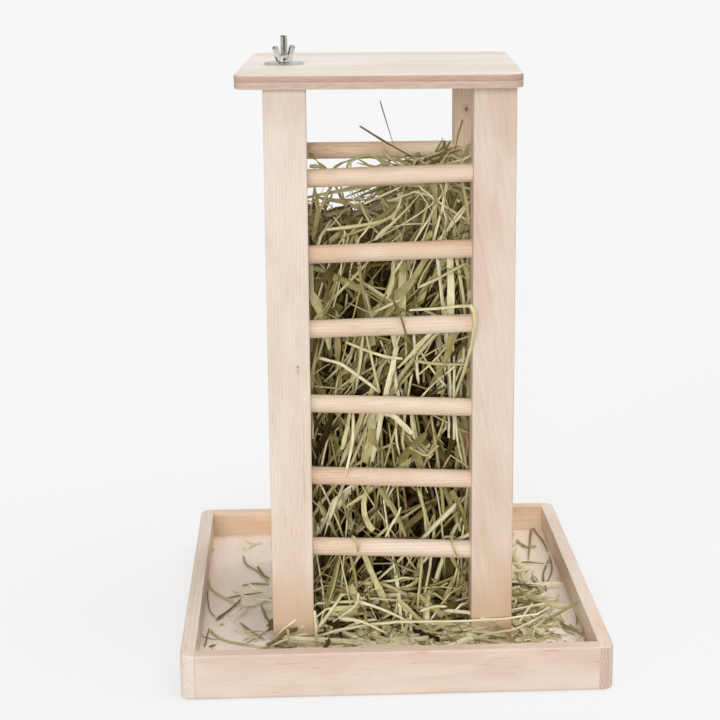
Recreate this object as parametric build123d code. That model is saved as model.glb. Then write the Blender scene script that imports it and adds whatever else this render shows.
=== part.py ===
from build123d import *
import os

# A hay feeder for small animals: an open tower of four posts and dowel rungs stands in a square
# tray, under a plywood lid that swings aside about one bolt when its wing nut is loosened.
# Millimetres. +X is to the right, the front faces -Y, +Z is up. The origin is the middle of the
# tray's underside.

# ---------------------------------------------------------------- tray
tray_width = 350.0  # across the front
tray_depth = 350.0  # front to back
tray_height = 37.0
rail_thickness = 12.0
floor_thickness = 13.0
tray_corner_radius = 9.0  # the upright outer corners
rail_arris = 1.6  # rounding along the rails' outer top and bottom edges
inner_arris = 0.7  # rounding along the rails' inner top edges

# ---------------------------------------------------------------- tower
tower_width = 202.0
tower_depth = 196.0
post_width = 34.5  # seen from the front
post_depth = 28.0
post_arris = 1.4  # rounding along the posts' upright edges

# ---------------------------------------------------------------- rungs
rung_diameter = 15.0
rung_count = 6  # on each of the four sides
rung_web = 1.75  # wood left in a post between its rungs' sockets and the other side's rungs
lowest_rung = 94.5  # height of the lowest rungs' middle
rung_pitch = 62.5
top_opening = 74.0  # from the top rungs' middle to the posts' tops
lower_front_rungs = 3  # front rungs that fall towards the right; the others rise
front_rung_fall = 6.5
front_rung_rise = 3.5
glue_gap = 0.1  # all round a rung or a dowel in its hole

# ---------------------------------------------------------------- top rail, which holds the bolt
top_rail_width = 28.0
top_rail_height = 40.0
dowel_diameter = 8.0
dowel_length = 30.0
dowel_spacing = 18.0  # between the two dowels of one end, one above the other

# ---------------------------------------------------------------- lid
lid_width = 228.0
lid_depth = 228.0
lid_thickness = 11.0
lid_corner_radius = 14.0
lid_arris = 0.9
lid_running_gap = 0.3  # between the posts' tops and the lid
lid_hole_from_left = 34.5
lid_hole_from_front = 106.0
lid_turn = -3.0  # degrees that the lid stands turned about its bolt, seen from above

# ---------------------------------------------------------------- bolt, washer and wing nut (M6)
bolt_diameter = 6.0
bolt_length = 75.0  # under the head
bolt_from_side = 17.0  # from the tower's left face
bolt_ahead_of_middle = 5.0
bolt_head_diameter = 16.0
bolt_head_height = 3.6
bolt_head_rim = 0.6  # the straight part of the head's edge
bolt_neck_width = 6.5  # the square under the head
bolt_neck_length = 4.5
bolt_tip_chamfer = 0.8
bolt_clearance = 0.3  # radial, in the lid, the top rail and the washer
washer_diameter = 34.0
washer_thickness = 1.5
washer_arris = 0.25
nut_bore_clearance = 0.2  # radial, over the bolt's thread
nut_base_diameter = 11.0
nut_hub_top_diameter = 9.0
nut_hub_height = 6.5
wing_span = 24.0  # over both wings' tips
wing_tip_height = 14.5
wing_width = 5.4  # across one wing, near its tip
wing_foot_height = 1.0  # where a wing's outer edge leaves the hub
wing_thickness = 2.4
wing_corner = 1.6  # rounding at a wing's tip
nut_turn = 38.0  # degrees of the wings from the tower's front, at rest

# ---------------------------------------------------------------- screws and brads
screw_diameter = 4.0
screw_length = 40.0
screw_head_diameter = 8.0
screw_head_recess = 0.4  # below the tray's underside
screw_spacing = 16.0  # between the two screws under one post
screw_point = 8.0  # length of the tapered tip
brad_diameter = 1.6
brad_length = 28.0
brad_set = 1.0  # heads punched this far below the side rails' outer faces
brad_gap = 0.05  # radial, in the wood
brads_per_corner = 2
floor_brads_per_side = 3
floor_brad_inset = 60.0  # the outer floor brads, from the tray's front and back

# ---------------------------------------------------------------- worked out from the above
floor_top = floor_thickness
post_top = lowest_rung + (rung_count - 1) * rung_pitch + top_opening
post_length = post_top - floor_top
rung_socket = (post_width - rung_diameter) / 2 - rung_web  # how deep a rung's end sits
span_x = tower_width - 2 * post_width  # clear between the left and right posts
span_y = tower_depth - 2 * post_depth  # clear between the front and rear posts
post_x = (tower_width - post_width) / 2
post_y = (tower_depth - post_depth) / 2
bolt_x = -tower_width / 2 + bolt_from_side
bolt_y = -bolt_ahead_of_middle
lid_bottom = post_top + lid_running_gap
lid_top = lid_bottom + lid_thickness
washer_top = lid_top + washer_thickness
bolt_seat = post_top - top_rail_height  # the top rail's underside
dowel_radius = dowel_diameter / 2
rung_radius = rung_diameter / 2

SIDES = {"left": -1, "right": 1}
ENDS = {"front": -1, "rear": 1}


# ---------------------------------------------------------------- helpers
def bar(start, end, radius):
    """A plain round bar with flat ends, from one point to another."""
    axis = Vector(*end) - Vector(*start)
    section = Plane(origin=start, z_dir=axis) * Circle(radius)
    return extrude(section, amount=axis.length)


def block(width, depth, height, x=0.0, y=0.0, bottom=0.0):
    """A box standing on the height `bottom`, with its middle at x, y."""
    return Pos(x, y, bottom + height / 2) * Box(width, depth, height)


def edges_near(solid, axis, value):
    """The solid's edges that lie whole in the plane where `axis` has this value."""
    found = []
    for edge in solid.edges():
        ends = [getattr(v, axis) for v in edge.vertices()]
        if all(abs(end - value) < 1e-6 for end in ends):
            found.append(edge)
    return found


def cut_all(solid, tools):
    """The solid with every tool taken out of it."""
    for tool in tools:
        solid = solid - tool
    return solid


# ---------------------------------------------------------------- tray
def side_rail(side):
    """A side rail over the tray's full depth, its outer corners and edges rounded."""
    x = side * (tray_width - rail_thickness) / 2
    outer = side * tray_width / 2
    inner = side * (tray_width / 2 - rail_thickness)
    rail = block(rail_thickness, tray_depth, tray_height, x=x)
    upright = [e for e in rail.edges().filter_by(Axis.Z) if abs(e.center().X - outer) < 1e-6]
    rail = fillet(upright, tray_corner_radius)
    rims = []
    for level in (0.0, tray_height):
        rims += [e for e in edges_near(rail, "Z", level) if abs(e.center().X - inner) > 1e-6]
    rail = fillet(rims, rail_arris)
    inner_edge = [e for e in edges_near(rail, "Z", tray_height) if abs(e.center().X - inner) < 1e-6]
    return fillet(inner_edge, inner_arris)


def end_rail(end):
    """A front or back rail, fitted between the side rails."""
    width = tray_width - 2 * rail_thickness
    y = end * (tray_depth - rail_thickness) / 2
    outer = end * tray_depth / 2
    inner = end * (tray_depth / 2 - rail_thickness)
    rail = block(width, rail_thickness, tray_height, y=y)
    outer_edges = [e for e in rail.edges().filter_by(Axis.X) if abs(e.center().Y - outer) < 1e-6]
    rail = fillet(outer_edges, rail_arris)
    top_edges = [e for e in rail.edges().filter_by(Axis.X) if abs(e.center().Z - tray_height) < 1e-6]
    inner_edge = [e for e in top_edges if abs(e.center().Y - inner) < 1e-6]
    return fillet(inner_edge, inner_arris)


def floor_panel():
    """The tray's floor, between the four rails and flush with their undersides."""
    return block(tray_width - 2 * rail_thickness, tray_depth - 2 * rail_thickness, floor_thickness)


def brad_places():
    """The y and height of each brad through one side rail: the end rails' brads, then the floor's."""
    places = []
    for end in ENDS.values():
        y = end * (tray_depth - rail_thickness) / 2
        for i in range(brads_per_corner):
            z = floor_top + (tray_height - floor_top) * (i + 0.5) / brads_per_corner
            places.append((y, z))
    reach = tray_depth / 2 - floor_brad_inset
    for i in range(floor_brads_per_side):
        y = reach * (2 * i / (floor_brads_per_side - 1) - 1)
        places.append((y, floor_thickness / 2))
    return places


def brad_bars(radius, head_depth):
    """A bar for every brad, from a depth below the side rails' outer faces to the brads' tips."""
    bars = []
    for side in SIDES.values():
        head = side * (tray_width / 2 - head_depth)
        tip = side * (tray_width / 2 - brad_set - brad_length)
        bars += [bar((head, y, z), (tip, y, z), radius) for y, z in brad_places()]
    return bars


def brads():
    """All the brads, as separate solids."""
    return brad_bars(brad_diameter / 2, brad_set)


def brad_holes():
    """Their holes, open to the outer faces."""
    return brad_bars(brad_diameter / 2 + brad_gap, 0.0)


# ---------------------------------------------------------------- posts and rungs
def front_rung_offset(level):
    """How much higher a front rung's right end is than its left end; level 0 is the lowest."""
    return -front_rung_fall if level < lower_front_rungs else front_rung_rise


def rung(side, level, clearance=0.0):
    """One rung on the named side, or the cutter for its two sockets when given a clearance."""
    radius = rung_radius + clearance
    height = lowest_rung + level * rung_pitch
    if side in ENDS:
        x = span_x / 2 + rung_socket
        y = ENDS[side] * post_y
        right_end = height + (front_rung_offset(level) if side == "front" else 0.0)
        return bar((-x, y, height), (x, y, right_end), radius)
    x = SIDES[side] * post_x
    y = span_y / 2 + rung_socket
    return bar((x, -y, height), (x, y, height), radius)


def screw(x, y):
    """A countersunk screw from beneath, its head just inside the tray's underside."""
    radius = screw_diameter / 2
    head_radius = screw_head_diameter / 2
    head_height = head_radius - radius
    profile = make_face(
        Polyline(
            (0, screw_head_recess),
            (head_radius, screw_head_recess),
            (radius, screw_head_recess + head_height),
            (radius, screw_length - screw_point),
            (0, screw_length),
            close=True,
        )
    )
    return Pos(x, y, 0) * revolve(Plane.XZ * profile, axis=Axis.Z)


def screw_places():
    """The two screws under each post."""
    for side in SIDES.values():
        for end in ENDS.values():
            for i in (-1, 1):
                yield side * post_x + i * screw_spacing / 2, end * post_y


def screw_holes():
    """The screws' holes, with the countersink opened to the underside."""
    holes = []
    for x, y in screw_places():
        holes.append(screw(x, y))
        holes.append(Pos(x, y, screw_head_recess / 2) * Cylinder(screw_head_diameter / 2, screw_head_recess))
    return holes


def top_rail_dowels(clearance=0.0):
    """The four dowels between the top rail and the left posts."""
    middle = bolt_seat + top_rail_height / 2
    made = []
    for end in ENDS.values():
        for i in (-1, 1):
            z = middle + i * dowel_spacing / 2
            near = (bolt_x, end * (span_y - dowel_length) / 2, z)
            far = (bolt_x, end * (span_y + dowel_length) / 2, z)
            made.append(bar(near, far, dowel_radius + clearance))
    return made


def post(end_name, side_name):
    """One post with its rung sockets, screw holes and, on the left, dowel holes."""
    x = SIDES[side_name] * post_x
    y = ENDS[end_name] * post_y
    solid = block(post_width, post_depth, post_length, x=x, y=y, bottom=floor_top)
    solid = fillet(solid.edges().filter_by(Axis.Z), post_arris)
    tools = [rung(end_name, level, glue_gap) for level in range(rung_count)]
    tools += [rung(side_name, level, glue_gap) for level in range(rung_count)]
    tools += [screw(*place) for place in screw_places()]
    if side_name == "left":
        tools += top_rail_dowels(glue_gap)
    return cut_all(solid, tools)


def top_rail():
    """The rail between the left posts' tops, bored for the bolt and its square neck."""
    solid = block(top_rail_width, span_y, top_rail_height, x=bolt_x, bottom=bolt_seat)
    hole_radius = bolt_diameter / 2 + bolt_clearance
    hole = bar((bolt_x, bolt_y, bolt_seat), (bolt_x, bolt_y, post_top), hole_radius)
    neck = block(bolt_neck_width, bolt_neck_width, bolt_neck_length, x=bolt_x, y=bolt_y, bottom=bolt_seat)
    return cut_all(solid, [hole, neck, *top_rail_dowels(glue_gap)])


# ---------------------------------------------------------------- lid and its clamp
def lid():
    """The plywood lid, turned a little about its bolt."""
    sheet = extrude(RectangleRounded(lid_width, lid_depth, lid_corner_radius), amount=lid_thickness)
    rims = edges_near(sheet, "Z", 0.0) + edges_near(sheet, "Z", lid_thickness)
    sheet = fillet(rims, lid_arris)
    sheet = Pos(lid_width / 2 - lid_hole_from_left, lid_depth / 2 - lid_hole_from_front, 0) * sheet
    hole_radius = bolt_diameter / 2 + bolt_clearance
    sheet = sheet - bar((0, 0, 0), (0, 0, lid_thickness), hole_radius)
    return Pos(bolt_x, bolt_y, lid_bottom) * Rot(0, 0, lid_turn) * sheet


def bolt():
    """A coach bolt, pushed up from under the top rail."""
    shank = bar((0, 0, 0), (0, 0, bolt_length), bolt_diameter / 2)
    shank = chamfer(edges_near(shank, "Z", bolt_length), bolt_tip_chamfer)
    neck = block(bolt_neck_width, bolt_neck_width, bolt_neck_length)
    half = bolt_head_diameter / 2
    dome_rise = bolt_head_height - bolt_head_rim
    dome_radius = (half**2 + dome_rise**2) / (2 * dome_rise)
    dome = Pos(0, 0, dome_radius - bolt_head_height) * Sphere(dome_radius)
    head = dome & bar((0, 0, -bolt_head_height), (0, 0, 0), half)
    return Pos(bolt_x, bolt_y, bolt_seat) * (shank + neck + head)


def washer():
    """The wide washer under the wing nut."""
    bore_radius = bolt_diameter / 2 + bolt_clearance
    ring = Circle(washer_diameter / 2) - Circle(bore_radius)
    disc = extrude(ring, amount=washer_thickness)
    outer = [e for e in disc.edges().filter_by(GeomType.CIRCLE) if e.radius > bore_radius]
    disc = fillet(outer, washer_arris)
    return Pos(bolt_x, bolt_y, lid_top) * disc


def wing():
    """One wing of the nut: a plate in the XZ plane that leans outwards from the hub."""
    tip = wing_span / 2
    foot = nut_base_diameter / 2 - wing_thickness / 2
    outline = Polyline(
        (0, wing_foot_height),
        (foot, wing_foot_height),
        (tip, wing_tip_height - wing_width / 2),
        (tip - wing_width, wing_tip_height),
        (0, nut_hub_height - wing_foot_height),
        close=True,
    )
    face = make_face(outline)
    tips = [v for v in face.vertices() if v.Y > nut_hub_height]
    face = fillet(tips, wing_corner)
    return extrude(Plane.XZ * face, amount=wing_thickness / 2, both=True)


def wing_nut():
    """The wing nut, standing on the washer."""
    hub = Solid.make_cone(nut_base_diameter / 2, nut_hub_top_diameter / 2, nut_hub_height)
    one = wing()
    body = hub + one + Rot(0, 0, 180) * one
    bore_radius = bolt_diameter / 2 + nut_bore_clearance
    body = body - bar((0, 0, 0), (0, 0, wing_tip_height), bore_radius)
    return Pos(bolt_x, bolt_y, washer_top) * Rot(0, 0, nut_turn) * body


# ---------------------------------------------------------------- the whole feeder
def build_nodes():
    """Every sub-part by its node name."""
    holes = brad_holes()
    nodes = {
        "tray_floor": cut_all(floor_panel(), [*screw_holes(), *holes]),
        "tray_front_rail": cut_all(end_rail(ENDS["front"]), holes),
        "tray_back_rail": cut_all(end_rail(ENDS["rear"]), holes),
        "tray_left_rail": cut_all(side_rail(SIDES["left"]), holes),
        "tray_right_rail": cut_all(side_rail(SIDES["right"]), holes),
        "tray_brads": Compound(children=brads()),
        "post_screws": Compound(children=[screw(*place) for place in screw_places()]),
        "top_rail": top_rail(),
        "top_rail_dowels": Compound(children=top_rail_dowels()),
        "lid": lid(),
        "lid_bolt": bolt(),
        "washer": washer(),
        "wing_nut": wing_nut(),
    }
    for end_name in ENDS:
        for side_name in SIDES:
            nodes[f"post_{end_name}_{side_name}"] = post(end_name, side_name)
    for side in (*ENDS, *SIDES):
        for level in range(rung_count):
            nodes[f"{side}_rung_{level + 1}"] = rung(side, level)
    return nodes


os.makedirs("parts", exist_ok=True)
for node_name, shape in build_nodes().items():
    export_step(shape, f"parts/{node_name}.step")
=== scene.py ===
"""Looks of a hay feeder box: its timber, its fittings, the hay in it and the studio round it.

Metres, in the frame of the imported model: +X to the right, the front faces -Y, +Z up. The origin is
the middle of the tray's underside. Sizes in the classes below are in millimetres.
"""

import logging
import math
from dataclasses import dataclass, field
from enum import Enum

import bmesh
import bpy
import numpy as np
from bpy.types import Material, Node, NodeSocket, NodeTree, Object, World
from mathutils import Matrix, Vector


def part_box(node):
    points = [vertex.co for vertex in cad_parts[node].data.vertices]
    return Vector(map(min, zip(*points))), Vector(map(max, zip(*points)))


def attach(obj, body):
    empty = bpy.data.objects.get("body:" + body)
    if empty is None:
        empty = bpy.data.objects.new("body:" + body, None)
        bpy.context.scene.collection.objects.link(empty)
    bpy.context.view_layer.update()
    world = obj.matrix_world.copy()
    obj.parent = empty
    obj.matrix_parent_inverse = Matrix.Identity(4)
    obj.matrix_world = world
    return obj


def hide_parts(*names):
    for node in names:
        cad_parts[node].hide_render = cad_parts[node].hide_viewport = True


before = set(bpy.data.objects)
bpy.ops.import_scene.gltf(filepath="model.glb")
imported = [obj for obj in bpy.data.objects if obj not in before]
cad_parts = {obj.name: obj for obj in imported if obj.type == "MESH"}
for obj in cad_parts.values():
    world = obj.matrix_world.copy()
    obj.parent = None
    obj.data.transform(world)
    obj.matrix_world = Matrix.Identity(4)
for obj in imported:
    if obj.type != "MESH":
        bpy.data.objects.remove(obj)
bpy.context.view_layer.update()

log = logging.getLogger("hay_feeder")

Triple = tuple[float, float, float]
Stops = tuple[tuple[float, str], ...]  # places and colours along a ramp

MM = 0.001  # metres in a millimetre
SOFT = "SMOOTHSTEP"  # a range that starts and ends softly
NOISE_LOW, NOISE_HIGH = 0.3, 0.7  # between these lies nearly all of a noise
LATHE = {"axis": "Z", "use_merge_vertices": True, "merge_threshold": 0.00002, "use_smooth_shade": False}
REDDEST = 0.05  # hay tones below this are reddish dry leaf
DARKEST = 0.07  # the darkest tone of green hay, nearly black: painted shade for strands deep in the load
RINGS = 9  # points along a strand of hay
BIT_RINGS = 4  # and along a short bit


# ---------------------------------------------------------------- shared helpers
def mm(*sizes: float) -> tuple[float, ...]:
    """Millimetres in metres."""
    return tuple(size * MM for size in sizes)


def linear(hex_colour: str) -> tuple[float, float, float, float]:
    """Turn an sRGB hex colour into linear light.

    Args:
        hex_colour: Six hex digits after a hash sign.

    Returns:
        Red, green, blue and an opaque alpha.
    """
    parts = [int(hex_colour[i : i + 2], 16) / 255.0 for i in (1, 3, 5)]
    light = [c / 12.92 if c <= 0.04045 else ((c + 0.055) / 1.055) ** 2.4 for c in parts]
    return (light[0], light[1], light[2], 1.0)


def set_ramp(node: Node, stops: Stops) -> None:
    """Give a colour ramp its stops.

    Args:
        node: The Color Ramp node.
        stops: Place and sRGB hex colour of each stop, in order.
    """
    elements = node.color_ramp.elements
    while len(elements) < len(stops):
        elements.new(1.0)
    for element, (place, colour) in zip(elements, stops):
        element.position = place
        element.color = linear(colour)


def add(tree: NodeTree, kind: str, inputs: tuple | dict = (), **settings: object) -> Node:
    """Add one shader node, with its settings, values and links.

    Args:
        tree: The node tree that the node goes into.
        kind: The node's type, without ShaderNode before it, and its operation if it has one. A Mix
            node mixes colours.
        inputs: What its live inputs get, in order or by name: numbers, hex colours, or nodes or
            output sockets to link from.
        **settings: The node's own properties, and the stops of a colour ramp.

    Returns:
        The new node.
    """
    kind, _, operation = kind.partition(" ")
    node = tree.nodes.new(f"ShaderNode{kind}")
    if operation:
        node.operation = operation
    if kind == "Mix":
        node.data_type = "RGBA"
    for name, value in settings.items():
        if name == "stops":
            set_ramp(node, value)
        else:
            setattr(node, name, value)
    live = [socket for socket in node.inputs if socket.enabled]
    if isinstance(inputs, dict):
        by_name = {socket.name: socket for socket in live}
        live, inputs = [by_name[name] for name in inputs], tuple(inputs.values())
    for socket, value in zip(live, inputs):
        if isinstance(value, Node):
            value = next(output for output in value.outputs if output.enabled)
        if isinstance(value, NodeSocket):
            tree.links.new(value, socket)
        else:
            socket.default_value = linear(value) if isinstance(value, str) else value
    return node


def emptied(owner: Material | World) -> NodeTree:
    """Switch on the nodes of a material or world, and clear them."""
    owner.use_nodes = True
    owner.node_tree.nodes.clear()
    return owner.node_tree


def take(*pieces: Object) -> None:
    """Select these pieces alone, with the first one active."""
    bpy.ops.object.select_all(action="DESELECT")
    for piece in pieces:
        piece.select_set(True)
    bpy.context.view_layer.objects.active = pieces[0] if pieces else None


def edit(piece: Object, mode: str = "FACE", chosen: str = "DESELECT") -> bmesh.types.BMesh:
    """Open a piece in edit mode.

    Args:
        piece: The object to edit.
        mode: What is selected there: VERT, EDGE or FACE.
        chosen: SELECT for all of them, or DESELECT for none.

    Returns:
        The mesh being edited.
    """
    take(piece)
    bpy.ops.object.mode_set(mode="EDIT")
    bpy.ops.mesh.select_mode(type=mode)
    bpy.ops.mesh.select_all(action=chosen)
    return bmesh.from_edit_mesh(piece.data)


def pick(mesh: bmesh.types.BMesh, piece: Object, parts: list) -> None:
    """Select parts of a mesh in edit mode.

    Args:
        mesh: The mesh being edited.
        piece: The object that it belongs to.
        parts: The vertices, edges or faces.
    """
    for part in parts:
        part.select = True
    mesh.select_flush_mode()
    bmesh.update_edit_mesh(piece.data)


def leave_edit(outward: bool = True) -> None:
    """Leave edit mode, with the normals pointing outwards if asked."""
    if outward:
        bpy.ops.mesh.select_all(action="SELECT")
        bpy.ops.mesh.normals_make_consistent(inside=False)
    bpy.ops.object.mode_set(mode="OBJECT")


def settle(piece: Object, name: str) -> Object:
    """Name a piece and put its place, turn and size into its mesh.

    Args:
        piece: The finished object.
        name: Its name, also given to its mesh.

    Returns:
        The same object, at the origin.
    """
    take(piece)
    bpy.ops.object.transform_apply(location=True, rotation=True, scale=True)
    piece.name = piece.data.name = name
    return piece


def primitive(operator: object, name: str, **sizes: object) -> Object:
    """Add a primitive, with nothing else selected.

    Args:
        operator: The operator of bpy.ops.mesh that makes it.
        name: The new piece's name.
        **sizes: Its size and place.

    Returns:
        The new piece.
    """
    take()
    operator(**sizes)
    return settle(bpy.context.object, name)


def join(name: str, *pieces: Object) -> Object:
    """Make several pieces one, under a new name."""
    take(*pieces)
    bpy.ops.object.join()
    return settle(pieces[0], name)


def smooth(piece: Object, degrees: float) -> None:
    """Shade a piece smooth, except over edges sharper than this many degrees."""
    take(piece)
    bpy.ops.object.shade_smooth_by_angle(angle=math.radians(degrees))


def modify(piece: Object, kind: str, **settings: object) -> None:
    """Add a modifier and apply it.

    Args:
        piece: The object that it works on.
        kind: The modifier's type.
        **settings: Its properties.
    """
    take(piece)
    modifier = piece.modifiers.new(kind.title(), kind)
    for name, value in settings.items():
        setattr(modifier, name, value)
    bpy.ops.object.modifier_apply(modifier=modifier.name)


def dress(node: str, material: Material) -> None:
    """Give a CAD node's object one material in all of its slots."""
    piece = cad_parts[node]
    if not piece.material_slots:
        piece.data.materials.append(material)
    for slot in piece.material_slots:
        slot.material = material


# ---------------------------------------------------------------- wood
class Grain(Enum):
    """Which way a board's fibres run: the turn that brings them upright, and their direction."""

    X = ((0.0, -math.pi / 2, 0.0), (1.0, 0.0, 0.0))
    Y = ((math.pi / 2, 0.0, 0.0), (0.0, 1.0, 0.0))
    Z = ((0.0, 0.0, 0.0), (0.0, 0.0, 1.0))


@dataclass(frozen=True)
class Figure:
    """Noise that is drawn out along the fibres."""

    cells: float  # how many there are in a metre, across the fibres
    stretch: float  # how many along them, for one across
    detail: float
    roughness: float = 0.5

    def noise(self, tree: NodeTree, board: Node) -> Node:
        """Add the noise to a material.

        Args:
            tree: The material's nodes.
            board: Coordinates with the fibres upright.

        Returns:
            The noise.
        """
        drawn = add(tree, "Mapping", {"Vector": board, "Scale": (1.0, 1.0, self.stretch)})
        return add(tree, "TexNoise", (drawn, self.cells, self.detail, self.roughness))


@dataclass(frozen=True)
class Knot:
    """A small sound knot: where it shows, how wide it is, and the way that its branch ran."""

    place: Triple
    radius: float
    stretch: Triple = (1.0, 0.15, 0.6)
    shade: str = "#8F6246"

    def near(
        self, tree: NodeTree, place: NodeSocket, reach: float, most: float = 1.0,
        heart: float = 0.35, ease: str = SOFT,
    ) -> Node:
        """Find how near a point is to the knot.

        Args:
            tree: The material's nodes.
            place: Object coordinates.
            reach: How many of the knot's radii the nearness goes out to.
            most: What it is in the knot's heart.
            heart: How many radii wide the heart is.
            ease: How the nearness falls off.

        Returns:
            The nearness, nought beyond its reach.
        """
        away = add(tree, "VectorMath SUBTRACT", (place, mm(*self.place)))
        flat = add(tree, "VectorMath MULTIPLY", (away, self.stretch))
        far = add(tree, "VectorMath LENGTH", (flat,))
        size = self.radius * MM
        return add(tree, "MapRange", (far, size * reach, size * heart, 0.0, most), interpolation_type=ease)


@dataclass(frozen=True)
class Wood:
    """What the finishes of solid wood and plywood share."""

    name: str
    along: Grain
    pale: str
    warm: str
    line: str

    def _lay_grain(self, tree: NodeTree, warmth: Node, lines: Node, hair: Node, dim: float) -> Node:
        """Colour the wood's ground, its growth lines and its fibres.

        Args:
            tree: The material's nodes.
            warmth: Where the ground is warm.
            lines: Where the growth lines are.
            hair: The noise of the fibres.
            dim: The light that the darkest fibre keeps.

        Returns:
            The colour.
        """
        ground = add(tree, "Mix", (warmth, self.pale, self.warm))
        lined = add(tree, "Mix", (lines, ground, self.line))
        tone = add(tree, "MapRange", (hair, NOISE_LOW, NOISE_HIGH, dim, 1.04))
        return add(tree, "VectorMath SCALE", (lined, tone))

    def _sand(
        self, tree: NodeTree, colour: Node, hair: Node, relief: Node,
        depth: tuple[float, float], matt: tuple[float, float],
    ) -> None:
        """Finish the surface, bare and matt.

        Args:
            tree: The material's nodes.
            colour: Its colour.
            hair: The noise of the fibres.
            relief: Its height.
            depth: The relief's strength and its depth in metres.
            matt: The least and the greatest roughness.
        """
        bump = add(tree, "Bump", {"Height": relief, "Strength": depth[0], "Distance": depth[1]})
        rough = add(tree, "MapRange", (hair, NOISE_LOW, NOISE_HIGH, *matt))
        look = {"Base Color": colour, "Roughness": rough, "Specular IOR Level": 0.35, "Normal": bump}
        add(tree, "OutputMaterial", (add(tree, "BsdfPrincipled", look),))


@dataclass(frozen=True)
class PlanedTimber(Wood):
    """Planed, unfinished whitewood with fine straight grain.

    The eye sees a pale, matt surface, thin darker lines where each year's growth ends, short brown
    flecks along the fibres, and a greyer, rougher cut across them at the ends.
    """

    pale: str = "#EBDCCB"
    warm: str = "#E2CBB4"
    line: str = "#CDAE92"
    fleck: str = "#B07F5E"
    end: str = "#C9AF98"
    # the foot's colour: hay stain, and painted shade and warm bounce from the hay
    foot: str = "#BA9366"
    pith: tuple[float, float] = (60.0, -90.0)
    ring: float = 2.4  # mm of growth in a year
    line_depth: float = 0.5
    fleck_depth: float = 0.35
    end_depth: float = 0.35
    fewest: float = 0.15  # the faintest line, as a share of the plainest
    wander: float = 9.0  # mm that the rings stray along the board
    slant: float = 0.0  # how far an upright board's fibres lean, in radians
    foot_stain_and_shade: float = 0.0  # how far hay browns the foot, with painted shade and warm bounced light there too
    knots: tuple[Knot, ...] = ()
    bow: Figure = Figure(24.0, 0.16, 3.0)  # the rings' slow bow
    years: Figure = Figure(90.0, 0.16, 2.0)  # how plain a year's line is, here and there
    patches: Figure = Figure(30.0, 0.3, 3.0)  # warm ones, a hand's width long
    fibres: Figure = Figure(1400.0, 0.035, 2.0)  # 0.7 mm wide
    pores: Figure = Figure(620.0, 0.07, 1.0)

    def material(self) -> Material:
        """Build the material.

        Returns:
            A procedural material on Object coordinates.
        """
        material = bpy.data.materials.new(self.name)
        tree = emptied(material)
        coordinates = add(tree, "TexCoord").outputs
        place = coordinates["Object"]
        (turn_x, turn_y, _), way = self.along.value
        pith = (-self.pith[0] * MM, -self.pith[1] * MM, 0.0)
        board = add(tree, "Mapping", (place, pith, (turn_x, turn_y + self.slant, 0.0)))
        late = self._rings(tree, board, place)
        # years differ, and so does the same year along the board
        plainness = (0.35, 0.65, self.fewest * self.line_depth, self.line_depth)
        plain = add(tree, "MapRange", (self.years.noise(tree, board), *plainness))
        lines = add(tree, "Math MULTIPLY", (late, plain))
        patch = self.patches.noise(tree, board)
        warmth = add(tree, "MapRange", (patch, 0.38, 0.66), interpolation_type=SOFT)
        hair = self.fibres.noise(tree, board)
        toned = self._lay_grain(tree, warmth, lines, hair, 0.93)
        # pores show as short brown flecks, in groups
        pore = self.pores.noise(tree, board)
        dashes = add(tree, "MapRange", (pore, 0.62, 0.72, 0.0, self.fleck_depth), interpolation_type=SOFT)
        group = add(tree, "MapRange", (patch, 0.42, 0.62))
        flecks = add(tree, "Math MULTIPLY", (dashes, group))
        colour = add(tree, "Mix", (flecks, toned, self.fleck))
        for knot in self.knots:
            for spread, share, shade in ((2.6, 0.4, self.line), (1.0, 0.75, knot.shade)):
                near = knot.near(tree, place, spread, share)
                colour = add(tree, "Mix", (near, colour, shade))
        if self.foot_stain_and_shade:
            # hay lies against an upright board's foot and browns it; the darker, warmer foot is also painted
            # shade and light bounced warm from the hay
            height = add(tree, "SeparateXYZ", (place,)).outputs["Z"]
            low = add(tree, "MapRange", (height, 0.1, 0.028, 0.0, self.foot_stain_and_shade), interpolation_type=SOFT)
            colour = add(tree, "Mix", (low, colour, self.foot))
        # sawn ends drink the light and show the rings darker
        facing = add(tree, "VectorMath DOT_PRODUCT", (coordinates["Normal"], way))
        square = add(tree, "Math ABSOLUTE", (facing,))
        cut = add(tree, "MapRange", (square, 0.72, 0.92), interpolation_type=SOFT)
        sawn = add(tree, "TexNoise", (board, 700.0, 4.0))
        rough = add(tree, "MapRange", (sawn, NOISE_LOW, NOISE_HIGH, 0.88, 1.08))
        ringed = add(tree, "Math MULTIPLY", (late, self.end_depth))
        end_lines = add(tree, "Mix", (ringed, self.end, self.fleck))
        end = add(tree, "VectorMath SCALE", (end_lines, rough))
        final = add(tree, "Mix", (cut, colour, end))
        relief = add(tree, "Math SUBTRACT", (hair, lines))
        self._sand(tree, final, hair, relief, (0.35, 0.00012), (0.5, 0.66))
        return material

    def _rings(self, tree: NodeTree, board: Node, place: NodeSocket) -> Node:
        """Draw the year rings, parted round each knot.

        Args:
            tree: The material's nodes.
            board: Coordinates from the pith, with the fibres upright.
            place: Object coordinates.

        Returns:
            The late wood of each year: one where it is darkest.
        """
        stray = self.wander * MM
        bowed = (self.bow.noise(tree, board), stray, -0.5 * stray)
        bow = add(tree, "Math MULTIPLY_ADD", bowed)
        across = add(tree, "VectorMath MULTIPLY", (board, (1.0, 1.0, 0.0)))
        radius = add(tree, "VectorMath LENGTH", (across,))
        reach = add(tree, "Math ADD", (radius, bow))
        for knot in self.knots:
            push = (knot.near(tree, place, 4.0), knot.radius * 1.6 * MM, reach)
            reach = add(tree, "Math MULTIPLY_ADD", push)
        year = add(tree, "Math MULTIPLY", (reach, 1.0 / (self.ring * MM)))
        growth = add(tree, "Math FRACT", (year,))
        return add(tree, "MapRange", (growth, 0.35, 0.97), interpolation_type=SOFT)


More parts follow.
